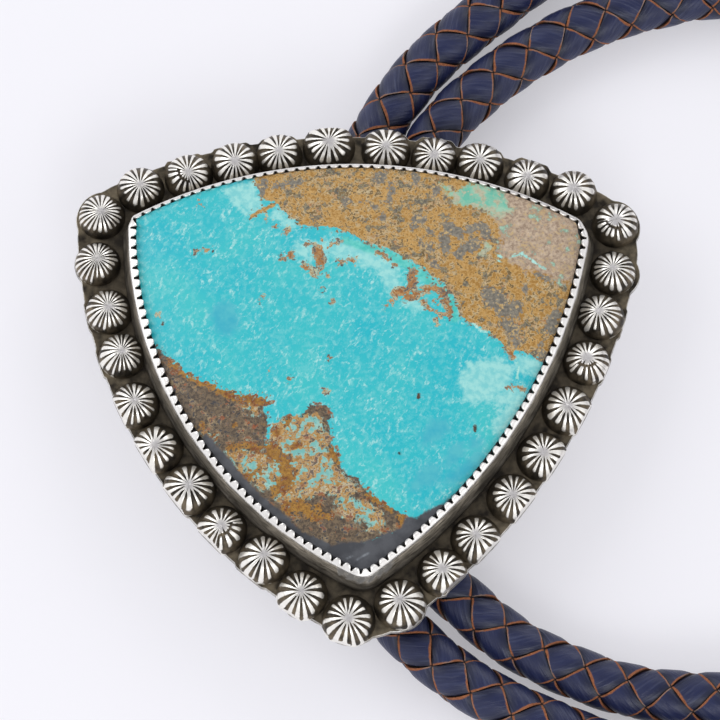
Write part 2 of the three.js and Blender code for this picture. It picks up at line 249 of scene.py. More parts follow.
def row_of_buttons():
    """The buttons' line is the shoulder with longer corners and flatter sides, grown by an offset.
    Each button goes to the point on it that is nearest its star in the photograph. Returns the line,
    its length, the distances along it, the centres, the stars' offsets and the outward directions."""
    spot = SHOULDER_CORNERS[:, :2]
    away = spot - spot.mean(axis=0)
    corners = SHOULDER_CORNERS.copy()
    corners[:, :2] += away / np.linalg.norm(away, axis=1, keepdims=True) * ROW_CORNER_REACH
    corners[:, 3] += ROW_SIDE_FLATTENING
    line = rounded_triangle(corners, ROW_OFFSET)
    long = float(np.sum(line[:, 2] * line[:, 4]))
    fine = np.linspace(0, long, 4000, endpoint=False)
    points, outward = stations(line, fine)
    stars = lying_at([button[:2] for button in STAMPED_BUTTONS], PLATE_TOP + BUTTON_HEIGHT)[:, :2]
    nearest = np.linalg.norm(points[None] - stars[:, None], axis=2).argmin(axis=1)
    off = np.sum((stars - points[nearest]) * outward[nearest], axis=1)
    centres = points[nearest] + outward[nearest] * np.clip(off, -0.45, 0.45)[:, None]
    return line, long, fine[nearest], centres, stars - centres, outward[nearest]


def filed_reach(points, outward):
    """How far the outer edge stands from the buttons' line: the sides are filed straight, a little
    closer along the top, and the corners are left round. A corner fades out 7.4 to 9.2 mm from its
    circle's centre."""
    corner = SHOULDER_CORNERS[:, :2] + DRAWING_ORIGIN
    near = np.linalg.norm(points[:, None] - corner, axis=2).min(axis=1)
    side = FILED_SIDE - 0.12 * np.maximum(outward[:, 1], 0)
    return side + (ROUND_CORNER - side) * smooth_step(-near, -9.2, -7.4)


def button(number, centre, outward, reach, star, across, rays, turned, worn, scar):
    """A dome of height 1 - share^2.3 to the power 0.62, on a grid that fans out from its star's
    centre. By the centre a ray fills 0.9 of its cell or all of it, so that fine lines run in. Where
    its groove starts it narrows to 0.21 to 0.37 of the cell each way, and it ends at 0.38 to 0.45 of
    the button's width, further out on the filed side. Past a second strike's arc the cells go half a
    ray on. Points beyond the filed edge are set back to it."""
    columns, rings = 9 * rays, 19
    chance = np.random.default_rng(number)
    turn = 2 * np.pi * (np.arange(columns) / columns)[None, :]
    share = np.linspace(0, 1, rings)[:, None] ** 0.8
    rim = np.stack([np.cos(turn), np.sin(turn)], axis=-1) * across / 2
    flat = star + (rim - star) * share[..., None]
    dome = np.clip(np.hypot(flat[..., 0], flat[..., 1]) / (across / 2), 0, 1)
    height = BUTTON_HEIGHT * np.maximum(1 - dome**2.3, 0) ** 0.62
    cell = rays * turn / (2 * np.pi) + turned + 0.22 * np.sin(2 * turn + number) + 0 * share
    arc = np.ones_like(cell)
    if scar is not None:
        off = np.abs((turn / (2 * np.pi) - scar + 0.5) % 1 - 0.5)
        bow = share - SCAR_RADIUS - 1.6 * off**2
        cell = cell + 0.5 * ((bow > 0) & (off < SCAR_SPREAD))
        arc = np.where(off < SCAR_SPREAD, np.abs(bow) * 12 - 0.4, 1)
    ray = np.floor(cell).astype(int) % rays
    aside = np.abs(cell - np.floor(cell) - 0.5)
    begins = 0.55 * worn * chance.uniform(0.2, 1.7, rays)[np.floor(cell + 0.5).astype(int) % rays]
    half = chance.uniform(0.21, 0.37, rays)[ray]
    whole = chance.uniform(0.45, 0.58, rays)[ray]
    half = half + (whole - half) * smooth_step(-share, -begins - 0.2, -begins)
    far = np.linalg.norm(flat - star, axis=2)
    beyond = np.clip((flat - star) @ outward / np.maximum(far, 0.01), 0, 1)
    long = across * (chance.uniform(0.38, 0.45, rays)[ray] + 0.1 * beyond - 0.25 * aside**2)
    bright = np.clip(np.minimum(np.minimum((half - aside) * 6, (long - far) * 3), arc), -1, 1)
    bright = bright - chance.uniform(0, 0.32, rays)[ray] * smooth_step(share, 0.1, 0.4)
    shallow = 1 - 0.6 * smooth_step(share, 0.85, 1.0)
    height = height - GROOVE_DEPTH * smooth_step(-bright, -0.1, 0.8) * shallow
    height[-1] = -0.2
    over = np.maximum(flat @ outward - reach, 0)
    flat = flat - over[..., None] * outward
    rim_out = smooth_step(share, 0.975, 0.99) * smooth_step(flat @ outward, 0.6, 2.2)
    filed = smooth_step(over, 0.0, 0.04) + 0.8 * rim_out
    points = np.dstack([centre[0] + flat[..., 0], centre[1] + flat[..., 1], PLATE_TOP + height])
    # Painted shade and light: this factor runs from 0.2 on the flank that faces the bezel to 1 on the outer
    # flank.
    painted_side_shade = 0.6 + 0.4 * (flat @ outward) / (across / 2)
    return points, {"bright": np.maximum(bright, 2 * np.clip(filed, 0, 1) - 1), "painted_side_shade": painted_side_shade,
                    "worn": np.clip((0.7 * worn - share) * 6, -1, 1) * (arc > 0.9)}


button_line, row_length, button_at, button_centres, star_offsets, button_outward = row_of_buttons()
button_size = np.clip(np.array([stamp[2] for stamp in STAMPED_BUTTONS]) * BUTTON_MM_PER_PIXEL, 5.8, 6.8)
line_points, line_outward = stations(button_line, button_at)
button_reach = filed_reach(line_points, line_outward) - np.sum(
    (button_centres - line_points) * button_outward, axis=1) - 0.03
buttons = [
    button(number, centre, outward, reach, np.clip(star, -0.6, 0.6), size, *stamp[3:])
    for number, (centre, outward, reach, star, size, stamp)
    in enumerate(zip(button_centres, button_outward, button_reach, star_offsets, button_size,
                     STAMPED_BUTTONS))
]

# Stamped sterling: buffed white where it stands proud, a worn grey centre with fine scratches, and
# sulphide in the grooves and on the flanks, mottled black to brown. Painted shade darkens the flanks on
# the bezel's side, and a painted dull sheen lightens them on the outside.
stamped, tree, shader = new_material("stamped_oxidised_silver")
place = add_node(tree, "TexCoord", out="Object")
bright, worn, painted_side_shade = (add_node(tree, "Attribute", out="Fac", attribute_name=name)
                     for name in ("bright", "worn", "painted_side_shade"))
stain = add_node(tree, "TexNoise", {"Vector": place, "Scale": 2200, "Detail": 4})
cloud = add_node(tree, "TexNoise", {"Vector": place, "Scale": 700, "Detail": 4})
edge = add_node(tree, "Math", {0: stain, 1: 0.8, 2: -0.4}, operation="MULTIPLY_ADD")
edge = add_node(tree, "Math", {0: bright, 1: edge}, operation="ADD")
buffed = add_node(tree, "MapRange", {0: edge, 1: -0.15, 2: 0.4}, interpolation_type="SMOOTHSTEP")
oxide_mottle_and_shade = add_node(tree, "MapRange", {0: cloud, 1: 0.36, 2: 0.66})
# Painted shade: the oxide's mottle is multiplied by the side factor, so it is darker on the bezel's side.
oxide_mottle_and_shade = add_node(tree, "Math", {0: oxide_mottle_and_shade, 1: painted_side_shade}, operation="MULTIPLY")
oxide = add_node(tree, "Mix", {0: oxide_mottle_and_shade, 6: "#2A251E", 7: "#7C6F5A"}, 2, data_type="RGBA")
clean = add_node(tree, "Mix", {0: stain, 6: "#E9E5DC", 7: "#FBF9F3"}, 2, data_type="RGBA")
grey = add_node(tree, "Mix", {0: stain, 6: "#C6C2C0", 7: "#F7F4F1"}, 2, data_type="RGBA")
worn = add_node(tree, "Math", {0: stain, 1: 2.2, 2: worn}, operation="MULTIPLY_ADD")
worn = add_node(tree, "MapRange", {0: worn, 1: 0.6, 2: 1.5})
clean = add_node(tree, "Mix", {0: worn, 6: clean, 7: grey}, 2, data_type="RGBA")
colour = add_node(tree, "Mix", {0: buffed, 6: oxide, 7: clean}, 2, data_type="RGBA")
rough = add_node(tree, "MapRange", {0: buffed, 3: 0.46, 4: 0.3})
metal = add_node(tree, "MapRange", {0: buffed, 3: 0.6, 4: 0.72})
bump = add_node(tree, "Bump", {"Height": stain, "Strength": 0.3, "Distance": 0.00003})
wire_up(tree, shader, Base_Color=colour, Roughness=rough, Metallic=metal, Normal=bump)

button_row = add_surface("stamped_buttons", buttons, stamped, weld=True, sharp=55)
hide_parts("setting")

# Back plate
# Silver sheet under the buttons. Its outer edge is filed flush with them along the sides and dips a
# little between them. The filed edge is bright and the face is stained brown and black with oxide,
# and it is painted darker towards the bezel, as painted shade.

PLATE_RIM = 0.1
SCALLOP_INNER_REACH = 2.38
POINTS_PER_SCALLOP = 24


def plate_edge():
    """The plate's outline: round each button the arc of a circle a rim wider than it, cut off at the
    filed reach, and between two buttons never less than the inner reach from their line. That dips
    by 0.2 mm along the top and by 0.35 more on the upper right."""
    here = button_at
    after = np.append(here[1:], here[0] + row_length)
    share = np.arange(POINTS_PER_SCALLOP) / POINTS_PER_SCALLOP
    gap = ((after - here) % row_length)[:, None]
    at = here[:, None] + gap * share
    points, outward = stations(button_line, at.reshape(-1))
    reach = [np.sqrt(np.maximum((size[:, None] / 2 + PLATE_RIM) ** 2 - aside**2, 0)) for size, aside in (
        (button_size, at - here[:, None]), (np.roll(button_size, -1), here[:, None] + gap - at))]
    reach = np.minimum(np.maximum(*reach).reshape(-1), filed_reach(points, outward))
    dip = 0.2 * np.maximum(outward[:, 1], 0) + 0.35 * smooth_step(outward.sum(axis=1), 0.6, 1.1)
    return points, outward, np.maximum(reach, SCALLOP_INNER_REACH - dip)


edge_points, edge_outward, edge_reach = plate_edge()
# Rows from the middle of the back, round the edge, to the middle of the face: how far inside the
# outline each lies, its height and how brightly it is rubbed; a value below 0 paints shade on the
# oxide instead, darkest towards the bezel.
plate_section = [
    (4.0, 0.0, 0.5), (1.5, 0.0, 0.5), (0.5, 0.0, 0.6), (0.14, 0.0, 0.9), (0.03, 0.06, 1.0),
    (0.0, 0.2, 0.6), (0.0, 0.8, 0.5), (0.02, 0.93, 0.6), (0.07, 0.99, 0.6), (0.12, 1.0, 0.3),
    (0.2, 1.0, 0.0), (0.9, 1.0, 0.0), (2.0, 1.0, -0.1), (3.6, 1.0, -0.7), (5.2, 1.0, -1.0),
]
plate_rows, plate_rub_and_shade = [], []
for inside, height, rub in plate_section:
    flat = edge_points + edge_outward * (edge_reach - inside)[:, None]
    plate_rows.append(np.column_stack([flat, np.full(len(flat), PLATE_BOTTOM + height)]))
    plate_rub_and_shade.append(rub)
middle = np.append(edge_points.mean(axis=0), 0)
back, face = ([middle + (row - middle) * (share, share, 1) for share in (0, 0.35, 0.7)]
              for row in (plate_rows[0], plate_rows[-1]))
plate_rows = back + plate_rows + face[::-1]
plate_rub_and_shade = [0.5] * 3 + plate_rub_and_shade + [-1.0] * 3

oxidised, tree, shader = new_material("oxidised_sheet_silver", Metallic=0.7)
place = add_node(tree, "TexCoord", out="Object")
rub_and_shade = add_node(tree, "Attribute", out="Fac", attribute_name="rub_and_shade")
stain = add_node(tree, "TexNoise", {"Vector": place, "Scale": 900, "Detail": 5})
grit = add_node(tree, "Mapping", {"Vector": place, "Scale": (1, 0.12, 1), "Rotation": (0, 0, 0.5)})
grit = add_node(tree, "TexNoise", {"Vector": grit, "Scale": 2600, "Detail": 4})
worn = add_node(tree, "Math", {0: stain, 1: 0.7, 2: -0.35}, operation="MULTIPLY_ADD")
worn = add_node(tree, "Math", {0: rub_and_shade, 1: worn}, operation="ADD")
buffed = add_node(tree, "MapRange", {0: worn, 1: 0.3, 2: 0.85}, interpolation_type="SMOOTHSTEP")
mottle = add_node(tree, "TexNoise", {"Vector": place, "Scale": 650, "Detail": 5})
mottle = add_node(tree, "MapRange", {0: mottle, 1: 0.36, 2: 0.66})
# Painted shade: the mottle is scaled from 0.8 down to 0.4 on the rows that lie towards the bezel.
painted_bezel_shade = add_node(tree, "MapRange", {0: rub_and_shade, 1: -1.0, 2: 0.0, 3: 0.4, 4: 0.8})
mottle = add_node(tree, "Math", {0: mottle, 1: painted_bezel_shade}, operation="MULTIPLY")
oxide = add_node(tree, "Mix", {0: mottle, 6: "#2B261F", 7: "#8A7E68"}, 2, data_type="RGBA")
clean = add_node(tree, "Mix", {0: grit, 6: "#D9D7D2", 7: "#F6F5F2"}, 2, data_type="RGBA")
colour = add_node(tree, "Mix", {0: buffed, 6: oxide, 7: clean}, 2, data_type="RGBA")
rough = add_node(tree, "MapRange", {0: buffed, 3: 0.5, 4: 0.28})
bump = add_node(tree, "Bump", {"Height": grit, "Strength": 0.3, "Distance": 0.00003})
wire_up(tree, shader, Base_Color=colour, Roughness=rough, Normal=bump)

back_plate = add_surface("back_plate", [(
    np.array(plate_rows), {"rub_and_shade": np.array(plate_rub_and_shade)[:, None]})], oxidised, weld=True, sharp=50)
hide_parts("setting")

# Bezel
# A strip of serrated bezel wire, soldered to the plate and leaning in. Its teeth are burnished down over
# the stone's edge. The teeth and shoulder are bright, the notches and the wall are black.

BEZEL_WALL = 0.35
BEZEL_HEIGHT = 4.0
BEZEL_LEAN = 0.75
BEZEL_EASE = 0.38
TOOTH_PITCH = 1.35
TOOTH_REACH = 0.8
TOOTH_RISE = 0.55
TOOTH_THICKNESS = 0.35
NOTCH_REACH = 0.28
NOTCH_RISE = 0.12
STATIONS_PER_TOOTH = 12

shoulder = rounded_triangle(SHOULDER_CORNERS)
shoulder_length = float(np.sum(shoulder[:, 2] * shoulder[:, 4]))
teeth = round(shoulder_length / TOOTH_PITCH)


def bezel_grid():
    """A ring of wall sections. A tooth is a lobe of height 1 - |2t / 0.84|^3 along one pitch, t from
    -1/2 to 1/2 and never below 0, and its reach and rise go from the notch's to the tooth's by that
    lobe. Filed lines and a base bead run along the wall outside. Along the top side the wall leans
    less, by its ease, and the teeth are a fifth shorter; on the left they are a quarter longer. A
    section's point is its distance outwards, its height, how brightly it is rubbed and how much of
    that a notch takes away. Round the lowest corner a fan of worn facets is brighter."""
    count = teeth * STATIONS_PER_TOOTH
    share = np.arange(count) / count
    points, outward = stations(shoulder, share * shoulder_length)
    t = (share * teeth) % 1 - 0.5
    size = 1 + 0.12 * np.sin(17 * 2 * np.pi * share) * np.sin(5 * 2 * np.pi * share + 1)
    lobe = np.maximum(1 - np.abs(2 * t / 0.84) ** 3, 0) * size
    upright = smooth_step(outward[:, 1], 0.5, 0.95)
    reach = (NOTCH_REACH + (TOOTH_REACH - NOTCH_REACH) * lobe) * (
        1 - 0.22 * upright + 0.25 * smooth_step(-outward[:, 0], 0.8, 1.0))
    rise = NOTCH_RISE + (TOOTH_RISE - NOTCH_RISE) * lobe
    one, top, flat = np.ones(count), BEZEL_HEIGHT, BEZEL_HEIGHT - TOOTH_THICKNESS
    lump = 0.03 * np.sin(23 * 2 * np.pi * share) + 0.02 * np.sin(57 * 2 * np.pi * share + 2)
    section = [
        (BEZEL_LEAN - BEZEL_WALL, -0.2, 0, 0), (-BEZEL_WALL, flat, 0, 0),
        (-np.maximum(reach, BEZEL_WALL), flat + rise, 0, 0), (-reach - 0.02, flat + rise + 0.16, 0.7, 1),
        (-reach + 0.04, top + rise - 0.03, 1, 1), (-0.72 * reach - 0.02, top + 0.9 * rise, 1, 1),
        (-0.45 * reach - 0.06, top + 0.5 * rise + 0.05, 1, 1), (-0.2, top + 0.1, 1, 0.5),
        (-0.03, top + 0.04, 1.0, 0), (0.06, top - 0.1, 1.0, 0), (0.1 + lump, top - 0.3, 0.6, 0),
        (0.13 + lump, top - 0.6, 0.1, 0), (0.25, top - 1.5, 0.05, 0), (0.42 + lump, top - 2.4, 0.0, 0),
        (0.56, top - 3.1, -0.3, 0), (0.74, top - 3.25, 0.25, 0), (0.86, top - 3.45, 0.1, 0),
        (0.9, -0.2, -1.0, 0),
    ]
    rows = []
    for off, z, _, _ in section:
        aside = off * one + BEZEL_EASE * upright * np.clip(z / top, 0, 1)
        rows.append(np.column_stack([points + outward * aside[:, None], PLATE_TOP + z * one]))
    notch = smooth_step(np.abs(2 * t), 0.68, 0.84)
    polish = np.stack([rub * one - notch * cut for _, _, rub, cut in section])
    side_lengths = shoulder[:, 2] * shoulder[:, 4]
    beside = share * shoulder_length - (np.sum(side_lengths[:4]) + 0.5 * side_lengths[4])
    stamp = smooth_step(-np.abs(beside + 0.3), -4.6, -3.4)
    low = np.array([np.mean(z) for _, z, _, _ in section])[:, None]
    fan = (0.66 + 0.2 * np.cos(5 * beside + 1.5 * low)) * stamp
    polish = np.maximum(polish, fan * smooth_step(low, 1.3, 1.9) * smooth_step(-low, -3.9, -3.7))
    run = np.broadcast_to(share * shoulder_length, polish.shape)
    depth = low * (np.arange(len(section)) > 2)[:, None] * (1 - 0.9 * notch * (low > 3.5))
    return np.array(rows).transpose(1, 0, 2), {"rub_and_shade": polish.T, "run": run.T, "depth": depth.T}


# Fine silver bezel wire: white where the burnisher went, on the teeth and the shoulder. The wall is
# stained, and drawn and scraped lines run along it, bright brown on black; their colour darkens
# towards the wall's foot.
wire, tree, shader = new_material("oxidised_bezel_wire")
place = add_node(tree, "TexCoord", out="Object")
rub_and_shade, run, depth = (add_node(tree, "Attribute", out="Fac", attribute_name=name)
                      for name in ("rub_and_shade", "run", "depth"))
lines = add_node(tree, "CombineXYZ", {0: run, 1: depth})
lines = add_node(tree, "Mapping", {"Vector": lines, "Scale": (0.45, 2.4, 1)})
lines = add_node(tree, "TexNoise", {
    "Vector": lines, "Scale": 1.0, "Detail": 5, "Roughness": 0.65, "Distortion": 0.5})
stain = add_node(tree, "TexNoise", {"Vector": place, "Scale": 1500, "Detail": 4})
patch = add_node(tree, "TexNoise", {"Vector": place, "Scale": 260, "Detail": 2})
edge = add_node(tree, "Math", {0: stain, 1: 0.5, 2: -0.25}, operation="MULTIPLY_ADD")
edge = add_node(tree, "Math", {0: rub_and_shade, 1: edge}, operation="ADD")
buffed = add_node(tree, "MapRange", {0: edge, 1: 0.3, 2: 0.75}, interpolation_type="SMOOTHSTEP")
streak = add_node(tree, "MapRange", {0: lines, 1: 0.38, 2: 0.66})
broad = add_node(tree, "MapRange", {0: patch, 1: 0.3, 2: 0.65, 3: 0.25, 4: 1.0})
streak = add_node(tree, "Math", {0: streak, 1: broad}, operation="MULTIPLY")
high = add_node(tree, "MapRange", {0: depth, 1: 0.4, 2: 3.2, 3: 0.1, 4: 1.0})
streak = add_node(tree, "Math", {0: streak, 1: 0.17}, operation="ADD")
streak = add_node(tree, "Math", {0: streak, 1: high}, operation="MULTIPLY")
oxide = add_node(tree, "Mix", {0: streak, 6: "#221E19", 7: "#D9CEBB"}, 2, data_type="RGBA")
clean = add_node(tree, "Mix", {0: stain, 6: "#D8D4CE", 7: "#FAF9F6"}, 2, data_type="RGBA")
colour = add_node(tree, "Mix", {0: buffed, 6: oxide, 7: clean}, 2, data_type="RGBA")
rough = add_node(tree, "MapRange", {0: buffed, 3: 0.42, 4: 0.28})
metal = add_node(tree, "MapRange", {0: buffed, 3: 0.35, 4: 0.8})
bump = add_node(tree, "Bump", {"Height": lines, "Strength": 0.4, "Distance": 0.00005})
wire_up(tree, shader, Base_Color=colour, Roughness=rough, Metallic=metal, Normal=bump)

bezel = add_surface("bezel", [bezel_grid()], wire, ring=True, sharp=60)
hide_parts("setting")

# Stone
# A turquoise cabochon, cut from a seam with its brown host rock and polished to a low dome. The rock's
# edges, spots and veins lie where the photograph shows them; their grain comes from noise.

STONE_RISE = 2.2
STONE_DROP = 0.45
DOME_FULLNESS = 2.6
FIT_GAP = 0.3
STONE_CLEAR = BEZEL_WALL + FIT_GAP
STONE_COLUMNS, STONE_RINGS = 440, 190

MM_PER_PIXEL = 0.125
# Each area is a list of shapes in the photograph's pixels. A shape is its points and a width: none for
# a filled outline, or the width of a stroke or, with one point, of a round spot.
STONE_AREAS = {
    "host": [([
        (253, 176), (256, 183), (259, 188), (262, 197), (266, 201), (274, 202), (284, 211), (290, 217),
        (298, 219), (299, 225), (311, 226.5), (332, 227), (349, 233), (357, 238), (372, 243), (386, 247),
        (399, 253), (413, 261), (423, 267), (431, 275), (444, 283), (452, 292), (458, 302), (459, 311),
        (462, 318), (470, 323), (480, 327), (489, 331), (496, 338), (503, 345), (508, 353), (512.5, 358),
        (515.5, 350), (528, 353), (546, 360), (610, 370), (640, 120), (253, 110)], 0),
        ([(252, 216), (258, 212.5), (265, 209), (273, 205)], 5),
    ],
    "beige": [([
        (489, 213), (500, 226), (501, 240), (496, 251), (505, 260), (522, 270), (543, 277), (562, 282),
        (640, 290), (640, 150), (500, 150), (489, 180)], 0)],
    "mint": [([
        (452, 198), (465, 184), (480, 182), (501, 190), (511, 210), (501, 216), (489, 212), (477, 206),
        (462, 206)], 0),
        ([(444.5, 187), (452.5, 195)], 4.5), ([(488, 247)], 6), ([(484, 251)], 5)],
    "vein": [
        ([(509.8, 257.3), (521, 253.5), (529.4, 258.7), (537.8, 264.4), (546.3, 269.3)], 2.2),
        ([(495.7, 253.8), (501.4, 257)], 2), ([(497, 261), (503, 262)], 1.8),
        ([(462, 323), (474, 324), (481, 331), (487, 332.4)], 1.5),
        ([(513.8, 355), (519, 365), (516.6, 378), (521, 384)], 1.6)],
    "grey": [
        ([(380, 176.7)], 12), ([(391, 187), (389, 199)], 9), ([(415, 178)], 11), ([(437, 192)], 9),
        ([(348, 202)], 8), ([(362, 202)], 7), ([(382, 216)], 9), ([(374, 207)], 6),
        ([(413, 220), (424, 219)], 7), ([(414, 227)], 7), ([(431, 231)], 8),
        ([(450, 226), (459, 234)], 12), ([(469, 230), (482, 226), (487, 233)], 10),
        ([(446, 247), (444, 240)], 13), ([(459, 254), (475, 244)], 13), ([(431, 247)], 8),
        ([(435, 266)], 8), ([(420, 243)], 6), ([(490, 294), (503, 309)], 17), ([(515, 309)], 18),
        ([(506, 324), (513, 331)], 11), ([(525, 290)], 9), ([(536, 273), (546, 278)], 7),
        ([(556, 315), (551, 329)], 12), ([(517, 346), (514, 337)], 6), ([(539, 344)], 8), ([(543, 356)], 9),
        ([(264, 182), (262, 192)], 9), ([(275, 186), (300, 183)], 6), ([(194, 396)], 12),
        ([(237, 425), (250, 418)], 11), ([(225, 418)], 8), ([(262, 432)], 8), ([(178, 398)], 8)],
    "teal_band": [([
        (346, 240), (358, 245), (372, 249), (386, 253), (398, 259), (411, 267), (421, 274), (430, 282),
        (442, 290), (449, 299), (453, 308), (455, 318)], 8.5)],
    "pale": [
        ([(222, 190), (238, 184), (255, 182), (262, 200), (262, 214), (250, 219), (236, 205)], 0),
        ([(268, 215), (278, 207), (288, 215), (296, 221), (296, 227), (283, 226)], 0),
        ([(300, 250), (330, 247), (352, 252)], 14), ([(345, 250), (385, 262), (392, 282)], 20),
        ([(470, 362), (500, 356), (514, 366), (510, 386), (488, 404), (464, 400), (458, 380)], 0),
        ([(500, 400), (520, 392), (512, 412), (500, 425)], 16), ([(522, 362), (535, 368)], 16),
        ([(303, 262), (316, 256)], 7), ([(409, 302), (419, 306)], 9)],
    "blue": [
        ([(432, 420), (446, 418), (452, 428), (440, 440), (424, 446), (420, 436)], 0),
        ([(419, 470), (430, 462), (440, 466), (442, 480), (430, 486), (412, 492), (409, 490)], 0),
        ([(450, 446), (462, 442), (464, 456), (448, 470), (444, 462)], 0),
        ([(470, 436), (482, 440), (480, 450), (470, 448)], 0), ([(452, 478), (466, 470), (478, 458)], 14),
        ([(224, 315), (226, 322)], 27)],
    "rust": [
        ([(413, 272), (411, 281), (413, 291)], 9), ([(396, 293), (407, 290)], 9),
        ([(407, 297), (420, 294)], 8), ([(386, 307), (391, 301), (398, 297)], 4),
        ([(424, 290), (431, 288), (438, 290)], 8), ([(423, 300), (430, 309), (440, 314), (449, 315)], 6),
        ([(437, 318), (437, 325)], 3.4), ([(444, 301), (450, 311)], 7), ([(433, 300), (438, 306)], 4),
        ([(446, 293), (441, 296)], 5), ([(283, 259), (288, 255.5), (293, 255.5)], 4.5), ([(290, 255)], 7),
        ([(318, 250), (319, 262)], 11), ([(304, 266), (317, 272)], 7), ([(314, 274), (321, 268)], 7),
        ([(307, 244), (315, 245), (318, 250)], 3), ([(322, 240)], 3.5),
        ([(328, 248), (335, 244), (342, 240.5)], 4), ([(340, 262)], 5), ([(348, 261)], 4),
        ([(352.5, 261)], 8), ([(378, 252.5), (384, 255), (389, 260)], 3.5), ([(394.5, 265)], 3.5),
        ([(276, 226)], 5), ([(285.5, 233), (289, 230)], 3.5), ([(265, 219)], 4), ([(200, 203)], 6),
        ([(199, 200), (202, 206)], 3), ([(194.5, 252), (203, 250.5), (211, 250)], 2.6),
        ([(328, 276)], 3), ([(322, 289)], 2.6), ([(332, 302)], 3.2), ([(262.5, 297.5), (260, 300)], 2.8),
        ([(157, 315)], 3.6), ([(329, 357.7)], 4.2), ([(288.6, 379)], 3), ([(325, 391.5)], 3.6),
        ([(269, 371)], 2.6), ([(508, 387.3), (518, 387.2), (526, 389.5)], 3.4),
        ([(510, 352), (513, 357)], 5)],
    "speck": [
        ([(163, 324)], 3.4), ([(418.4, 395), (418, 398)], 3.4), ([(475, 427), (475.5, 430)], 3.6),
        ([(399.5, 453)], 3.4)],
    "low_host": [([
        (150, 340), (162, 352), (171, 361), (182, 371), (190, 378), (203, 381), (214, 386), (225, 391),
        (239, 395.5), (253, 395.5), (265, 399), (270, 403), (263, 406), (262, 410), (268, 416),
        (269, 426), (265, 436), (266, 445), (272, 442), (270, 433), (279, 428.5), (280, 420),
        (289, 413), (297, 418), (304, 411), (311, 405), (325, 405), (333, 412), (328, 420), (330, 428),
        (331, 445), (339, 458), (340, 466), (346, 473.5), (359, 478), (361, 485), (369, 493),
        (378, 500), (389, 506), (399, 511), (405, 516), (407, 527), (384, 536), (364, 543), (330, 560),
        (120, 560), (100, 330)], 0)],
    "mottle": [([
        (272, 430), (283, 420), (300, 415), (318, 412), (326, 425), (329, 445), (336, 465), (344, 478),
        (357, 488), (345, 497), (322, 490), (303, 500), (280, 500), (262, 488), (240, 470), (226, 452),
        (250, 452), (268, 452)], 0), ([(279, 499), (295, 498), (310, 496)], 6),
        ([(240, 452), (250, 456)], 8), ([(232, 466), (240, 470)], 8), ([(249, 402), (253, 411)], 8),
        ([(205, 434), (212, 440)], 6), ([(345, 500), (375, 520)], 20)],
    "orange": [
        ([(270, 450), (284, 462), (289, 478), (276, 490)], 16), ([(288, 508), (302, 506), (312, 516)], 13),
        ([(316, 508), (328, 516)], 9), ([(230, 448), (249, 446), (262, 449)], 7), ([(202, 426)], 8),
        ([(214, 437)], 7), ([(234, 425)], 6), ([(262, 424)], 6), ([(331, 450), (336, 460)], 8),
        ([(288, 422)], 8), ([(276, 432)], 7), ([(324, 428)], 5), ([(296, 446)], 8),
        ([(400, 517), (404, 526)], 8), ([(366, 494), (378, 503), (392, 510)], 5),
        ([(170, 363), (184, 375), (200, 383)], 6),
        ([(206, 384), (226, 394), (248, 400), (264, 401)], 8), ([(240, 482), (258, 470)], 8)],
    "slate": [([
        (205, 432), (217, 446), (232, 462), (249, 484), (264, 498), (281, 511), (295, 525), (312, 536),
        (332, 545), (344, 541), (364, 542), (383, 535), (400, 529), (406, 518), (417, 517), (428, 511),
        (441, 505), (460, 490), (480, 600), (300, 620), (180, 500)], 0)],
    "scratch": [([(357, 560), (363, 556), (369, 553)], 1.4), ([(346, 559), (352, 556)], 1.2)],
}


def reach_into(spots, shapes):
    """How far each point is inside the nearest of the shapes, in millimetres, below 0 outside them. A
    stroke gives half its width less the distance to its line. A filled outline gives the distance to
    its edge, positive where a line from the point crosses the edge an odd number of times."""
    best = np.full(len(spots), -1e3)
    for outline, width in shapes:
        a = np.array(outline, float)
        b = np.roll(a, -1, axis=0)
        if width:
            a, b = (a[:-1], b[:-1]) if len(a) > 1 else (a, a)
        nearest, odd = np.full(len(spots), 1e3), np.zeros(len(spots), bool)
        for start, end in zip(a, b):
            side = end - start
            t = np.clip((spots - start) @ side / max(side @ side, 1e-9), 0, 1)
            nearest = np.minimum(nearest, np.linalg.norm(spots - start - t[:, None] * side, axis=1))
            spans = (spots[:, 1] < start[1]) != (spots[:, 1] < end[1])
            rise = side[1] if side[1] else 1.0
            odd ^= spans & (spots[:, 0] < start[0] + (spots[:, 1] - start[1]) / rise * side[0])
        inside = width / 2 - nearest if width else np.where(odd, nearest, -nearest)
        best = np.maximum(best, inside)
    return np.maximum(best, -60) * MM_PER_PIXEL


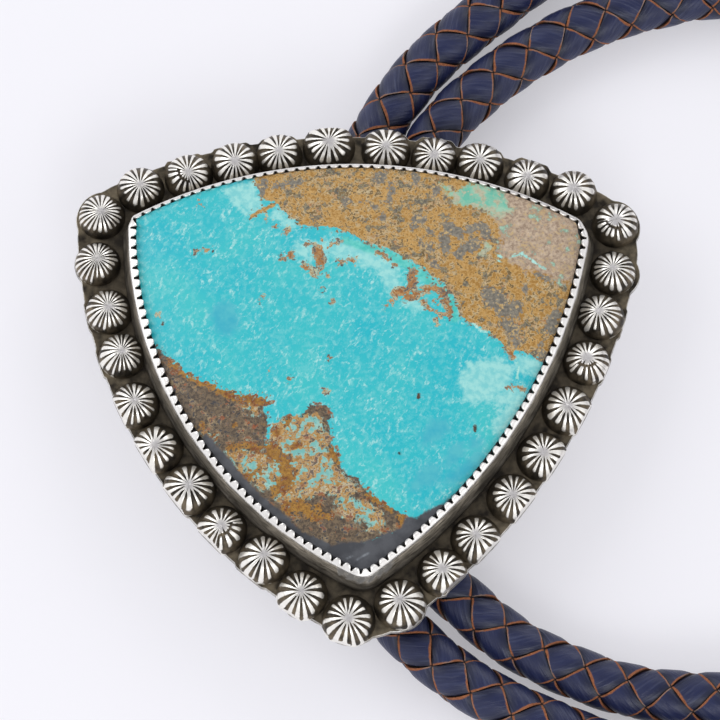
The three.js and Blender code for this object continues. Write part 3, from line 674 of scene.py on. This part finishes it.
def stone_grid():
    """The foot follows the shoulder inside the wall. Above it the dome's height is its rise times
    1 - share^2.6, where share goes from 1 at the edge to 0 at the middle. Along the top side the edge
    stands higher by 0.55 share^7, and meets the teeth. A dark band of grime and painted shadow of the
    teeth lies within 0.3 mm of the edge, and along the top side within 0.05."""
    at = np.arange(STONE_COLUMNS) / STONE_COLUMNS * shoulder_length
    points, outward = stations(shoulder, at)
    upright = smooth_step(outward[:, 1], 0.5, 0.95)[:, None]
    edge = points - outward * (STONE_CLEAR - (BEZEL_EASE + 0.12) * upright)
    middle = edge.mean(axis=0)
    top = PLATE_TOP + BEZEL_HEIGHT - STONE_DROP
    share = np.linspace(1, 0, STONE_RINGS) ** 0.8
    flat = middle + (edge - middle) * share[:, None, None]
    height = (top + STONE_RISE * (1 - share**DOME_FULLNESS))[:, None]
    height = height + 0.55 * upright.T * share[:, None] ** 7
    foot = points + outward * (BEZEL_LEAN - STONE_CLEAR)
    level = np.full((1, STONE_COLUMNS), PLATE_TOP + FIT_GAP)
    under = middle + (foot - middle) * np.array([0, 0.5])[:, None, None]
    rows = [np.dstack([under, np.repeat(level, 2, axis=0)]), np.dstack([foot[None], level]),
            np.dstack([flat, height])]
    grid = np.concatenate(rows)
    spots = seen_at(grid).reshape(-1, 2)
    areas = {name: reach_into(spots, shapes).reshape(grid.shape[:2])
             for name, shapes in STONE_AREAS.items()}
    from_edge = np.linalg.norm(grid - np.column_stack([edge, height[0]]), axis=2)
    # Grime and painted shadow of the teeth: a band by the edge, narrower along the top side.
    areas["grime_and_teeth_shadow"] = 0.3 - 0.25 * upright.T - from_edge
    return grid, areas


# Polished turquoise, a blue phosphate that takes a soft wax gloss. The host rock is iron-stained and
# grainy, in grains of 0.2 to 0.6 mm, and pale flecks in broken chains run all through the blue.
turquoise, tree, shader = new_material("polished_turquoise", IOR=1.6, Roughness=0.26)
place = add_node(tree, "TexCoord", out="Object")
leaning = add_node(tree, "Mapping", {
    "Vector": place, "Rotation": (0, 0, -0.6), "Scale": (1, 1.9, 1)}, vector_type="TEXTURE")
grain = {name: add_node(tree, "TexNoise", {
    "Vector": leaning if name == "crumb" else place, "Scale": scale, "Detail": detail,
    "Roughness": roughness})
    for name, scale, detail, roughness in (
        ("cloud", 110, 3, 0.5), ("blotch", 420, 4, 0.6), ("flake", 1300, 4, 0.6), ("grit", 2500, 3, 0.6),
        ("pebble", 1050, 2, 0.55), ("crumb", 2300, 3, 0.7))}
area = {name: add_node(tree, "Attribute", out="Fac", attribute_name=name)
        for name in (*STONE_AREAS, "grime_and_teeth_shadow")}
bend = add_node(tree, "TexNoise", {"Vector": place, "Scale": 900, "Detail": 3}, "Color")
bent = add_node(tree, "Mix", {0: 0.0014, 4: leaning, 5: bend}, 1, data_type="VECTOR")
web = add_node(tree, "TexVoronoi", {"Vector": bent, "Scale": 1000}, "Distance", feature="DISTANCE_TO_EDGE")
web = add_node(tree, "MapRange", {0: web, 1: 0.02, 2: 0.15, 3: 1.0, 4: 0.0})
broken = add_node(tree, "MapRange", {0: grain["crumb"], 1: 0.47, 2: 0.62})
webbing = add_node(tree, "Math", {0: web, 1: broken}, operation="MULTIPLY")
patchy = add_node(tree, "MapRange", {0: grain["blotch"], 1: 0.40, 2: 0.66, 3: 0.05, 4: 0.85})
webbing = add_node(tree, "Math", {0: webbing, 1: patchy}, operation="MULTIPLY")

sky = add_node(tree, "MapRange", {0: grain["cloud"], 1: 0.35, 2: 0.65})
paint = add_node(tree, "Mix", {0: sky, 6: "#1FB3C0", 7: "#3CBEC0"}, 2, data_type="RGBA")
speckle = add_node(tree, "MapRange", {0: grain["flake"], 1: 0.47, 2: 0.72, 4: 0.6})
paint = add_node(tree, "Mix", {0: speckle, 6: paint, 7: "#74CBCB"}, 2, data_type="RGBA")
dust = add_node(tree, "MapRange", {0: grain["crumb"], 1: 0.56, 2: 0.70, 4: 0.4})
paint = add_node(tree, "Mix", {0: dust, 6: paint, 7: "#9AD9D5"}, 2, data_type="RGBA")
paint = add_node(tree, "Mix", {0: webbing, 6: paint, 7: "#B4E0DA"}, 2, data_type="RGBA")

# Layers from the bottom up: area and the most that it may count inside, in mm; edge wander in mm by
# blotch, flake, grit and pebble noise; softness in mm; and two colours with the grain that mixes them and
# the noise values where the mix starts and ends. Where an area may count for less than 0, only the
# noise's peaks show, as grains scattered all over it.
STONE_LAYERS = [
    ("pale", 9, 0.6, 0.9, 0.5, 0.0, 0.6, "#78C9CA", "#9AD8D3", "flake", 0.4, 0.6),
    ("blue", 9, 0.8, 0.5, 0.1, 0.0, 0.7, "#36AABE", "#4FB7C1", "blotch", 0.4, 0.6),
    ("teal_band", 9, 0.5, 0.4, 0.1, 0.0, 0.3, "#43B9B0", "#66CBC1", "flake", 0.4, 0.6),
    ("host", 9, 0.25, 0.45, 0.3, 0.0, 0.08, "#9B7231", "#CCA564", "grit", 0.38, 0.62),
    ("host", -0.1, 0.8, 0.7, 0.5, 0.0, 0.2, "#B19F7B", "#CCC09D", "grit", 0.38, 0.62),
    ("host", -0.3, 1.2, 0.6, 0.2, 0.3, 0.2, "#9C6024", "#BC7D32", "grit", 0.38, 0.62),
    ("host", -0.26, 0.9, 0.2, 0.4, 1.3, 0.1, "#5A5549", "#857C68", "grit", 0.36, 0.64),
    ("host", -0.22, 0.5, 0.2, 1.5, 0.3, 0.12, "#8C8564", "#A59E7C", "grit", 0.4, 0.6),
    ("host", -0.24, 0.3, 0.1, 1.6, 0.0, 0.12, "#675331", "#7C643C", "flake", 0.4, 0.6),
    ("beige", 9, 1.2, 1.0, 0.5, 0.0, 0.4, "#927D68", "#C4B099", "grit", 0.36, 0.64),
    ("beige", -0.2, 1.0, 0.6, 1.2, 0.0, 0.2, "#A58A5C", "#B9A074", "grit", 0.4, 0.6),
    ("beige", -0.28, 1.0, 0.6, 0.6, 0.8, 0.15, "#7E5A50", "#96706A", "grit", 0.4, 0.6),
    ("beige", -0.34, 1.0, 0.6, 0.2, 0.8, 0.2, "#86AE98", "#A5C2A8", "grit", 0.4, 0.6),
    ("mint", 9, 0.9, 1.1, 0.6, 0.0, 0.3, "#63B59D", "#98C3A8", "blotch", 0.4, 0.6),
    ("mint", -0.12, 0.8, 0.7, 0.6, 0.6, 0.2, "#A3A184", "#B5B398", "grit", 0.4, 0.6),
    ("grey", 9, 0.7, 0.9, 0.6, 0.6, 0.1, "#625E56", "#8A8475", "grit", 0.35, 0.65),
    ("grey", -0.3, 0.3, 0.6, 0.8, 0.6, 0.12, "#A58752", "#BDA06C", "grit", 0.4, 0.6),
    ("vein", 9, 0.1, 0.3, 0.3, 0.0, 0.1, "#83CCC2", "#AEE0D6", "flake", 0.4, 0.6),
    ("low_host", 9, 0.3, 0.5, 0.4, 0.0, 0.08, "#4A4036", "#7A6850", "grit", 0.38, 0.62),
    ("low_host", -0.14, 0.8, 0.7, 0.3, 0.5, 0.15, "#94805F", "#B8A27C", "grit", 0.38, 0.62),
    ("low_host", -0.3, 0.6, 0.3, 0.6, 1.1, 0.12, "#743C28", "#9A5E38", "grit", 0.4, 0.6),
    ("low_host", -0.2, 0.3, 0.8, 1.0, 0.0, 0.12, "#3B3A3A", "#4E4E50", "pebble", 0.4, 0.6),
    ("mottle", 9, 1.2, 1.6, 0.9, 0.0, 0.25, "#72B2AC", "#9AC4B8", "flake", 0.4, 0.6),
    ("mottle", 0.16, 1.2, 1.0, 0.5, 0.9, 0.12, "#98703A", "#C49C60", "grit", 0.38, 0.62),
    ("mottle", -0.2, 0.9, 0.6, 0.6, 0.6, 0.12, "#AEA88D", "#C7C2A5", "grit", 0.4, 0.6),
    ("mottle", -0.3, 0.6, 0.4, 0.6, 0.9, 0.12, "#7E4A30", "#9C6440", "grit", 0.4, 0.6),
    ("mottle", -0.28, 0.0, 0.5, 1.3, 0.3, 0.12, "#4E4A46", "#665E54", "flake", 0.4, 0.6),
    ("orange", 9, 0.9, 1.3, 0.9, 0.4, 0.12, "#7D5622", "#B08338", "grit", 0.36, 0.64),
    ("orange", -0.16, 0.8, 0.8, 0.4, 0.7, 0.12, "#6C3D1F", "#8F572C", "grit", 0.4, 0.6),
    ("orange", -0.34, 0.3, 0.6, 0.8, 0.6, 0.12, "#7BA096", "#A8BCA2", "grit", 0.4, 0.6),
    ("orange", -0.3, 0.0, 0.5, 1.2, 0.2, 0.12, "#4A3C32", "#625040", "flake", 0.4, 0.6),
    ("rust", 9, 0.3, 0.8, 0.8, 0.3, 0.1, "#8A5A34", "#B98A50", "grit", 0.38, 0.62),
    ("rust", -0.16, 0.0, 0.6, 0.9, 0.6, 0.1, "#9CCBBF", "#B8B490", "flake", 0.42, 0.58),
    ("rust", -0.24, 0.6, 0.3, 1.0, 0.4, 0.1, "#4F4A48", "#6E645A", "flake", 0.4, 0.6),
    ("slate", 9, 0.4, 0.4, 0.2, 0.0, 0.2, "#3E4044", "#525458", "blotch", 0.4, 0.6),
    ("scratch", 9, 0.0, 0.1, 0.1, 0.0, 0.15, "#70757A", "#80858A", "flake", 0.4, 0.6),
    ("speck", 9, 0.0, 0.2, 0.2, 0.0, 0.1, "#2E241C", "#54402F", "flake", 0.4, 0.6),
    # Grime and the teeth's painted shadow, near black round the stone's edge.
    ("grime_and_teeth_shadow", 9, 0.0, 0.12, 0.1, 0.0, 0.05, "#0D0E10", "#1C1D1E", "flake", 0.4, 0.6),
]
for name, most, blotch, flake, grit, pebble, soft, low, high, mixer, start, end in STONE_LAYERS:
    reach = add_node(tree, "Math", {0: area[name], 1: float(most)}, operation="MINIMUM")
    for noise, wander in (("blotch", blotch), ("flake", flake), ("grit", grit), ("pebble", pebble)):
        if wander:
            wander = {0: grain[noise], 1: 2 * wander, 2: -wander}
            wander = add_node(tree, "Math", wander, operation="MULTIPLY_ADD")
            reach = add_node(tree, "Math", {0: reach, 1: wander}, operation="ADD")
    mask = add_node(tree, "MapRange", {0: reach, 1: -soft, 2: soft}, interpolation_type="SMOOTHSTEP")
    mixed = add_node(tree, "MapRange", {0: grain[mixer], 1: start, 2: end})
    tone = add_node(tree, "Mix", {0: mixed, 6: low, 7: high}, 2, data_type="RGBA")
    paint = add_node(tree, "Mix", {0: mask, 6: paint, 7: tone}, 2, data_type="RGBA")
wire_up(tree, shader, Base_Color=paint)

stone_points, stone_areas = stone_grid()
stone = add_surface("turquoise_stone", [(stone_points, stone_areas)], turquoise, weld=True, sharp=35)
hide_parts("stone")

# Back clip
# A flat sleeve bent from nickel silver sheet, behind the plate. Both strands run through it side by side,
# and their grip in it keeps the slide where it is put.

CORD_DIAMETER = 6.4
CLIP_SHEET = 0.9
CLIP_LENGTH = 24.0
CLIP_CORNER = 3.2
STRAND_GAP = 0.3
CLIP_WIDTH = 2 * CORD_DIAMETER + STRAND_GAP + 2 * FIT_GAP + 2 * CLIP_SHEET
CLIP_DEPTH = CORD_DIAMETER + 2 * FIT_GAP + 2 * CLIP_SHEET


def clip_grid():
    """A rectangle with round corners, carried along the sleeve as a ring: in along the outside, over a
    filed edge, back along the inside and over the other edge. A point lies inside the outline by its
    share of the sheet."""
    turn = np.linspace(0, 2 * np.pi, 96, endpoint=False)
    corner = np.floor(turn / (np.pi / 2)) * (np.pi / 2) + np.pi / 4
    signs = np.sign(np.stack([np.cos(corner), np.sin(corner)], axis=-1))
    inner = signs * (CLIP_WIDTH / 2 - CLIP_CORNER, CLIP_DEPTH / 2 - CLIP_CORNER)
    outward = np.stack([np.cos(turn), np.sin(turn)], axis=-1)
    half, rows = CLIP_LENGTH / 2, []
    section = [(0, -half + 0.25), (0, 0), (0, half - 0.25), (0.08, half - 0.07), (0.25, half),
               (0.65, half), (0.82, half - 0.07), (0.9, half - 0.25), (0.9, 0), (0.9, 0.25 - half),
               (0.82, 0.07 - half), (0.65, -half), (0.25, -half), (0.08, 0.07 - half)]
    for inside, along in section:
        flat = inner + outward * (CLIP_CORNER - inside)
        rows.append(np.column_stack([flat[:, 0], np.full(len(turn), along), flat[:, 1] + CLIP_DEPTH / 2]))
    return np.array(rows)


# Nickel silver, brushed along the sleeve with a belt and left to dull.
nickel, tree, shader = new_material("brushed_nickel_silver", Metallic=1.0)
place = add_node(tree, "TexCoord", out="Object")
brush = add_node(tree, "Mapping", {"Vector": place, "Scale": (1.0, 0.03, 1.0)})
brush = add_node(tree, "TexNoise", {"Vector": brush, "Scale": 4000, "Detail": 3})
dull = add_node(tree, "TexNoise", {"Vector": place, "Scale": 300, "Detail": 3})
colour = add_node(tree, "Mix", {0: dull, 6: "#A8A498", 7: "#CFCBBF"}, 2, data_type="RGBA")
rough = add_node(tree, "MapRange", {0: brush, 3: 0.28, 4: 0.5})
bump = add_node(tree, "Bump", {"Height": brush, "Strength": 0.3, "Distance": 0.00003})
wire_up(tree, shader, Base_Color=colour, Roughness=rough, Normal=bump)

back_clip = add_surface("back_clip_sleeve", [(clip_grid(), {})], nickel, ring=True)
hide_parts("back_clip")

# Cord
# One round braid of six flat laces of navy leather over a core, three winding each way, each over one
# and under the next. The laces are cut from dyed hide, so their long edges show the raw brown.

CORD_ROUTE = np.array([
    (56.5, -40.1, 4.1), (49.5, -39.6, 4.6), (33.5, -37.9, 3.3), (20.2, -32.3, 3.3),
    (11.8, -25.4, 3.8), (5.6, -18.7, 4.3), (3.35, -13.5, 4.4), (3.35, 0.0, 4.4),
    (3.35, 13.5, 4.4), (5.1, 23.8, 4.2), (9.9, 34.6, 3.7), (17.0, 42.2, 3.3),
    (27.0, 48.9, 3.25), (38.2, 53.1, 3.25), (50.0, 54.4, 3.25), (64.8, 48.2, 3.25),
    (71.2, 32.8, 3.25), (71.5, -5.0, 3.25), (78.7, -23.3, 3.25), (96.0, -30.5, 3.25),
    (113.3, -23.3, 3.25), (120.5, -6.0, 3.25), (121.8, 16.0, 3.25), (118.0, 50.5, 3.25),
    (107.0, 72.5, 3.25), (87.5, 85.2, 3.25), (63.5, 83.2, 3.25), (41.0, 70.2, 3.25),
    (18.8, 53.4, 3.25), (8.6, 44.2, 3.4), (2.8, 35.7, 3.7), (-1.9, 24.0, 4.2),
    (-3.35, 13.5, 4.4), (-3.35, 0.0, 4.4), (-3.35, -13.5, 4.4), (0.0, -22.9, 4.1),
    (11.5, -35.6, 3.4), (27.4, -43.9, 3.35), (44.5, -49.0, 4.6), (51.3, -50.45, 4.1),
])
LACES_EACH_WAY = 3
LACE_STEP = 5.65
# How far the braid has rolled, in degrees, and slid, in half steps, at distances along it in mm. It
# holds still over the lengths that the photograph shows.
BRAID_LAY = np.array([
    (48, -20, -0.7), (100, 30, -0.2), (190, 30, -0.2), (430, 3.5, 0.42), (530, 3.5, 0.42), (580, -2, 0.18),
])
LACE_COVER = 0.985
LACE_CROWN = 0.1
LACE_TILT = 0.04
LACE_DIP = 0.72
LACE_THICKNESS = 0.7
CORE_RADIUS = 2.15
TABLE_GAP = 0.03


def smooth_curve(points, spacing):
    """A centripetal Catmull-Rom curve through the points. Between two points it is the cubic whose
    tangents come from the neighbours' differences, each divided by the square root of its length.
    Returns points at even steps along it and their distances."""
    p = np.concatenate([[2 * points[0] - points[1]], points, [2 * points[-1] - points[-2]]])
    gap = np.sqrt(np.linalg.norm(np.diff(p, axis=0), axis=1))[:, None]
    before, here, after = gap[:-2], gap[1:-1], gap[2:]
    a, b, c, d = p[:-3], p[1:-2], p[2:-1], p[3:]
    leave = ((b - a) / before - (c - a) / (before + here) + (c - b) / here) * here
    reach = ((c - b) / here - (d - b) / (here + after) + (d - c) / after) * here
    t = np.linspace(0, 1, 120, endpoint=False)[None, :, None]
    b, c, leave, reach = (v[:, None] for v in (b, c, leave, reach))
    fine = b + leave * t + (3 * (c - b) - 2 * leave - reach) * t**2 + (2 * (b - c) + leave + reach) * t**3
    fine = np.concatenate([fine.reshape(-1, 3), points[-1:]])
    run = np.concatenate([[0], np.cumsum(np.linalg.norm(np.diff(fine, axis=0), axis=1))])
    at = np.linspace(0, run[-1], int(round(run[-1] / spacing)) + 1)
    return np.stack([np.interp(at, run, fine[:, k]) for k in range(3)], axis=1), at


def round_path(path, at, distance, angle, radius):
    """Points round a path: its point at a distance, plus the radius along its level side direction
    turned by the angle towards straight up."""
    ahead = np.gradient(path, at, axis=0)
    middle = np.stack([np.interp(distance, at, path[:, k]) for k in range(3)], axis=-1)
    ahead = np.stack([np.interp(distance, at, ahead[:, k]) for k in range(3)], axis=-1)
    ahead /= np.linalg.norm(ahead, axis=-1, keepdims=True)
    side = np.stack([-ahead[..., 1], ahead[..., 0], np.zeros_like(distance)], axis=-1)
    side /= np.linalg.norm(side, axis=-1, keepdims=True)
    up = np.cross(ahead, side)
    return middle + radius[..., None] * (side * np.cos(angle)[..., None] + up * np.sin(angle)[..., None])


def lace(path, at, rings, way, number):
    """One lace as a ribbon with a crowned face. While it goes one step along the cord its middle goes a
    third of a turn round it, and its face dips under every second lace of the other way. A point is
    past that lace's edge by half a lace less its distance from that lace's middle line, in mm, and
    the dip is a smooth step over it. Across its own width the face falls from its crown by the third
    power of the share of the half width, and tilts a little."""
    radius = CORD_DIAMETER / 2
    around = 2 * math.pi * radius / LACES_EACH_WAY
    slant = math.hypot(LACE_STEP, around)
    half = LACE_STEP * around / slant / 2 * LACE_COVER
    share = np.array([-0.92, -1.0, -0.7, -0.36, 0.0, 0.36, 0.7, 1.0, 0.92])[None, :]
    below = LACE_THICKNESS * np.array([1, 0, 0, 0, 0, 0, 0, 0, 1])[None, :]
    edge = share + np.sign(share) * below * 1.1
    middle = rings[:, None]
    roll, slide = (np.interp(middle, BRAID_LAY[:, 0], BRAID_LAY[:, k]) for k in (1, 2))
    step = middle / LACE_STEP - slide / 2
    distance = np.clip(middle - way * share * half * around / slant, 0, at[-1])
    angle = (way * 2 * math.pi / LACES_EACH_WAY * step + np.radians(roll)
             + 2 * math.pi * number / LACES_EACH_WAY + share * half * LACE_STEP / slant / radius)
    lap = way * ((step + 0.25 - 0.25 * way) % 1 - 0.5) * slant
    across = lap * 2 * LACE_STEP * around - share * half * (around**2 - LACE_STEP**2)
    past = half - np.abs(across) / slant**2
    wave = smooth_step(past, -1.3, 1.3)
    uneven = 0.06 * np.sin(middle / 7.3 + number * 2.1 + way) + 0.04 * np.sin(middle / 2.9 + number + way)
    height = (radius + 0.13 - LACE_DIP * wave - LACE_CROWN * np.abs(share) ** 3 - below
              + (LACE_TILT + uneven) * way * share * (1 - 0.5 * wave))
    points = round_path(path, at, distance, angle, height)
    points[..., 2] = np.maximum(points[..., 2], TABLE_GAP)
    return points, {
        "edge": edge, "along": middle * slant / LACE_STEP, "past": past, "tone": (number * 2 + (way > 0)) / 8}


# Full-grain cowhide, dyed navy with a drum-tumbled satin finish. Creases run across each lace about
# 0.35 mm apart, and the undyed corium shows tan to rust where the knife went through. Painted shade
# darkens each face towards where it dives under a crossing lace, painted shadow lines mark the gaps
# between the laces, and the lower part of each cut edge is painted darker as shade. The creases are
# painted lighter, partly as rubbed wear and partly as a painted sheen.
leather, tree, shader = new_material("navy_cowhide_laces", IOR=1.5, Specular_IOR_Level=0.38)
place = add_node(tree, "TexCoord", out="Object")
edge, along, tone, past = (add_node(tree, "Attribute", out="Fac", attribute_name=name)
                           for name in ("edge", "along", "tone", "past"))
flat = add_node(tree, "CombineXYZ", {0: along, 1: edge, 2: tone})
crease = add_node(tree, "Mapping", {"Vector": flat, "Scale": (2.8, 0.5, 40)})
crease = add_node(tree, "TexNoise", {"Vector": crease, "Scale": 1.0, "Detail": 4, "Distortion": 0.6})
pore = add_node(tree, "TexNoise", {"Vector": place, "Scale": 3600, "Detail": 3})
cloud = add_node(tree, "TexNoise", {"Vector": place, "Scale": 330, "Detail": 3})
fray = add_node(tree, "Mapping", {"Vector": flat, "Scale": (0.28, 0.0, 40)})
fray = add_node(tree, "TexNoise", {"Vector": fray, "Scale": 1.0, "Detail": 2})
start = add_node(tree, "MapRange", {0: fray, 1: 0.35, 2: 0.65, 3: 0.82, 4: 0.95})
start = add_node(tree, "Math", {0: pore, 1: 0.10, 2: start}, operation="MULTIPLY_ADD")
start = add_node(tree, "Math", {0: start, 1: 0.04}, operation="SUBTRACT")
out = add_node(tree, "Math", {0: edge}, operation="ABSOLUTE")
raw = add_node(tree, "Math", {0: out, 1: start}, operation="SUBTRACT")
raw = add_node(tree, "MapRange", {0: raw, 1: -0.02, 2: 0.03})
dye = add_node(tree, "Mix", {0: cloud, 6: "#181D3A", 7: "#252C50"}, 2, data_type="RGBA")
# Painted shade: the dye darkens towards where the face dives under a crossing lace.
painted_crossing_shade = add_node(tree, "MapRange", {0: past, 1: -1.5, 2: -0.1, 3: 0.0, 4: 0.7})
dye = add_node(tree, "Mix", {0: painted_crossing_shade, 6: dye, 7: "#0D101E"}, 2, data_type="RGBA")
# Lighter streaks on the creases: partly rubbed wear, partly a painted sheen.
rub = add_node(tree, "MapRange", {0: crease, 1: 0.52, 2: 0.8, 3: 0.0, 4: 0.5})
dye = add_node(tree, "Mix", {0: rub, 6: dye, 7: "#474E69"}, 2, data_type="RGBA")
hide = add_node(tree, "Mix", {0: pore, 6: "#4C2A1C", 7: "#AE6C44"}, 2, data_type="RGBA")
faded = add_node(tree, "MapRange", {0: fray, 1: 0.5, 2: 0.62, 4: 0.8})
hide = add_node(tree, "Mix", {0: faded, 6: hide, 7: "#8E7C72"}, 2, data_type="RGBA")
# Painted shade: the lower part of each cut edge is painted dark brown.
under = add_node(tree, "MapRange", {0: out, 1: 1.0, 2: 1.3})
hide = add_node(tree, "Mix", {0: under, 6: hide, 7: "#2A1710"}, 2, data_type="RGBA")
coat = add_node(tree, "Mix", {0: raw, 6: dye, 7: hide}, 2, data_type="RGBA")
# Painted shadow: a near-black line where the face meets the gap at a crossing.
painted_gap_shadow = add_node(tree, "MapRange", {0: past, 1: -0.26, 2: -0.06})
coat = add_node(tree, "Mix", {0: painted_gap_shadow, 6: coat, 7: "#0B0B10"}, 2, data_type="RGBA")
rough = add_node(tree, "MapRange", {0: raw, 3: 0.38, 4: 0.85})
bump = add_node(tree, "Bump", {"Height": crease, "Strength": 0.6, "Distance": 0.0002})
bump = add_node(tree, "Bump", {"Height": pore, "Strength": 0.25, "Distance": 0.00004, "Normal": bump})
wire_up(tree, shader, Base_Color=coat, Roughness=rough, Normal=bump)

cord_path, cord_run = smooth_curve(CORD_ROUTE, 0.18)
count = np.arange(len(cord_run))
shown = np.minimum(cord_run, cord_run[-1] - cord_run) < 150
rings = cord_run[np.where(shown, count % 2 == 0, count % 3 == 0)]
laces = [lace(cord_path, cord_run, rings, way, number)
         for way in (1, -1) for number in range(LACES_EACH_WAY)]
core_turn = np.linspace(0, 2 * math.pi, 10, endpoint=False)
core_run, core_turn = np.meshgrid(cord_run[::12], core_turn, indexing="ij")
core = round_path(cord_path, cord_run, core_run, core_turn, np.full(core_run.shape, CORE_RADIUS))
cord = add_surface("braided_cord", laces + [(core, {"edge": 0.0, "along": 0.0, "past": 1.0, "tone": 0.0})],
                   leather, capped=True)
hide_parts("cord")

# Tips
# Two plain tips spun from sterling tube, one crimped on each end of the cord: a bead at the mouth, a
# long taper and a round end. They lie just past the photograph's edge.

TIP_WALL = 0.6
TIP_LENGTH = 40.0
TIP_END = 1.9
TIP_SOCKET = 8.0
TIP_COLLAR = 3.0
TIP_COLLAR_REACH = 0.3
TIP_BEAD = 0.28


def tip_grid(mouth, end):
    """A profile of distance along and radius, turned round the tip's axis. The axis runs from the mouth
    the way that the cord's last stretch does, and dips so that the collar and the end both rest."""
    bore = CORD_DIAMETER / 2 + FIT_GAP
    body, collar = bore + TIP_WALL, bore + TIP_WALL + TIP_COLLAR_REACH
    dip = math.atan((collar - TIP_END) / (TIP_LENGTH - TIP_END - TIP_COLLAR))
    heading = math.atan2(end[1] - mouth[1], end[0] - mouth[0])
    bead = [(TIP_COLLAR / 2 * (1 - math.cos(a)), collar - TIP_BEAD * (1 - math.sin(a)))
            for a in np.linspace(0.2, 2.9, 12)]
    start, stop = TIP_COLLAR + 0.2, TIP_LENGTH - TIP_END
    taper = [(start - 0.1, body - 0.08), (start - 0.08, body - 0.08)] + [
        (s, body + (TIP_END - body) * ((s - start) / (stop - start)) ** 1.06)
        for s in np.linspace(start + 0.1, stop, 26)]
    round_end = [(stop + TIP_END * math.sin(a), TIP_END * math.cos(a))
                 for a in np.linspace(0.15, math.pi / 2, 10)]
    profile = np.array([(TIP_SOCKET, 0.0), (TIP_SOCKET, bore), (0.12, bore), (0.02, bore + 0.1)]
                       + bead + taper + round_end)
    turn = np.linspace(0, 2 * math.pi, 64, endpoint=False)
    along, radius = profile[:, :1], profile[:, 1:]
    x, y, z = along + 0 * turn, radius * np.cos(turn), radius * np.sin(turn)
    x, z = x * math.cos(dip) + z * math.sin(dip), z * math.cos(dip) - x * math.sin(dip)
    rise = collar * math.cos(dip) + TIP_COLLAR * math.sin(dip)
    return np.dstack([mouth[0] + x * math.cos(heading) - y * math.sin(heading),
                      mouth[1] + x * math.sin(heading) + y * math.cos(heading), z + rise])


# Sterling, spun and buffed: bright, with faint turning lines and hairline scratches.
polished, tree, shader = new_material("buffed_sterling_silver", Metallic=1.0)
place = add_node(tree, "TexCoord", out="Object")
hair = add_node(tree, "Mapping", {"Vector": place, "Rotation": (0, 0, -0.07), "Scale": (0.06, 1, 1)})
hair = add_node(tree, "TexNoise", {"Vector": hair, "Scale": 2600, "Detail": 3})
dull = add_node(tree, "TexNoise", {"Vector": place, "Scale": 240, "Detail": 4})
colour = add_node(tree, "Mix", {0: dull, 6: "#D8D5CE", 7: "#F4F2EE"}, 2, data_type="RGBA")
rough = add_node(tree, "MapRange", {0: dull, 1: 0.3, 2: 0.7, 3: 0.12, 4: 0.3})
bump = add_node(tree, "Bump", {"Height": hair, "Strength": 0.15, "Distance": 0.00002})
wire_up(tree, shader, Base_Color=colour, Roughness=rough, Normal=bump)

for name, mouth, end in (("right", CORD_ROUTE[1], CORD_ROUTE[0]), ("left", CORD_ROUTE[-2], CORD_ROUTE[-1])):
    tip = add_surface("silver_tip_" + name, [(tip_grid(mouth, end), {})], polished, weld=True, sharp=40)
    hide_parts("tip_" + name)

# Table, light and camera
# A sheet of white card on a light table, which glows through it and keeps the shadows pale, inside a
# white tent with soft boxes on all four sides. The camera is high in front.

card, tree, shader = new_material(
    "white_card", Roughness=0.7, Emission_Color=linear("#FBFAFF"), Emission_Strength=0.38)
place = add_node(tree, "TexCoord", out="Object")
shade = add_node(tree, "TexNoise", {"Vector": place, "Scale": 3, "Detail": 1})
shade = add_node(tree, "Mix", {0: shade, 6: "#BABABE", 7: "#BEBDC1"}, 2, data_type="RGBA")
wire_up(tree, shader, Base_Color=shade)
table = bpy.data.meshes.new("table")
table.from_pydata([(-3, -3, 0), (3, -3, 0), (3, 3, 0), (-3, 3, 0)], [], [(0, 1, 2, 3)])
table.materials.append(card)
table = bpy.data.objects.new("table", table)
bpy.context.scene.collection.objects.link(table)

world = bpy.data.worlds.new("studio")
world.use_nodes = True
tree = world.node_tree
upward = add_node(tree, "TexCoord", out="Generated")
upward = add_node(tree, "SeparateXYZ", {0: upward}, 2)
upward = add_node(tree, "MapRange", {0: upward, 1: 0.55, 2: 0.97})
sky = add_node(tree, "Mix", {0: upward, 6: "#F6F6FA", 7: "#A2A2A8"}, 2, data_type="RGBA")
tree.links.new(sky, tree.nodes["Background"].inputs["Color"])
tree.nodes["Background"].inputs["Strength"].default_value = 1.0
bpy.context.scene.world = world
bpy.context.scene.view_settings.view_transform = "Standard"

# Place in metres, width and length of the soft box in metres, and power in watts.
for name, place, size, power in (
    ("key", (-0.85, 0.35, 0.75), (0.9, 0.7), 4.3),
    ("back", (0.45, 0.85, 0.65), (0.6, 0.5), 1.8),
    ("right", (0.9, -0.35, 0.7), (0.7, 0.6), 0.9),
    ("front", (0.12, -0.72, 0.6), (0.45, 0.3), 2.0),
):
    box = bpy.data.lights.new(name, "AREA")
    box.shape = "RECTANGLE"
    box.size, box.size_y = size
    box.energy = power
    lamp = bpy.data.objects.new(name, box)
    lamp.location = place
    away = np.array(place) - VIEW_TARGET / 1000
    lamp.rotation_euler = (math.acos(away[2] / np.linalg.norm(away)), 0,
                           math.atan2(away[1], away[0]) + math.pi / 2)
    bpy.context.scene.collection.objects.link(lamp)

lens = bpy.data.cameras.new("camera")
lens.lens = VIEW_LENS
lens.sensor_width = SENSOR
lens.clip_start, lens.clip_end = 0.05, 20
camera = bpy.data.objects.new("camera", lens)
camera.location = VIEW_EYE / 1000
camera.rotation_euler = (math.pi / 2 - VIEW_ELEVATION, 0, 0)
bpy.context.scene.collection.objects.link(camera)
bpy.context.scene.camera = camera
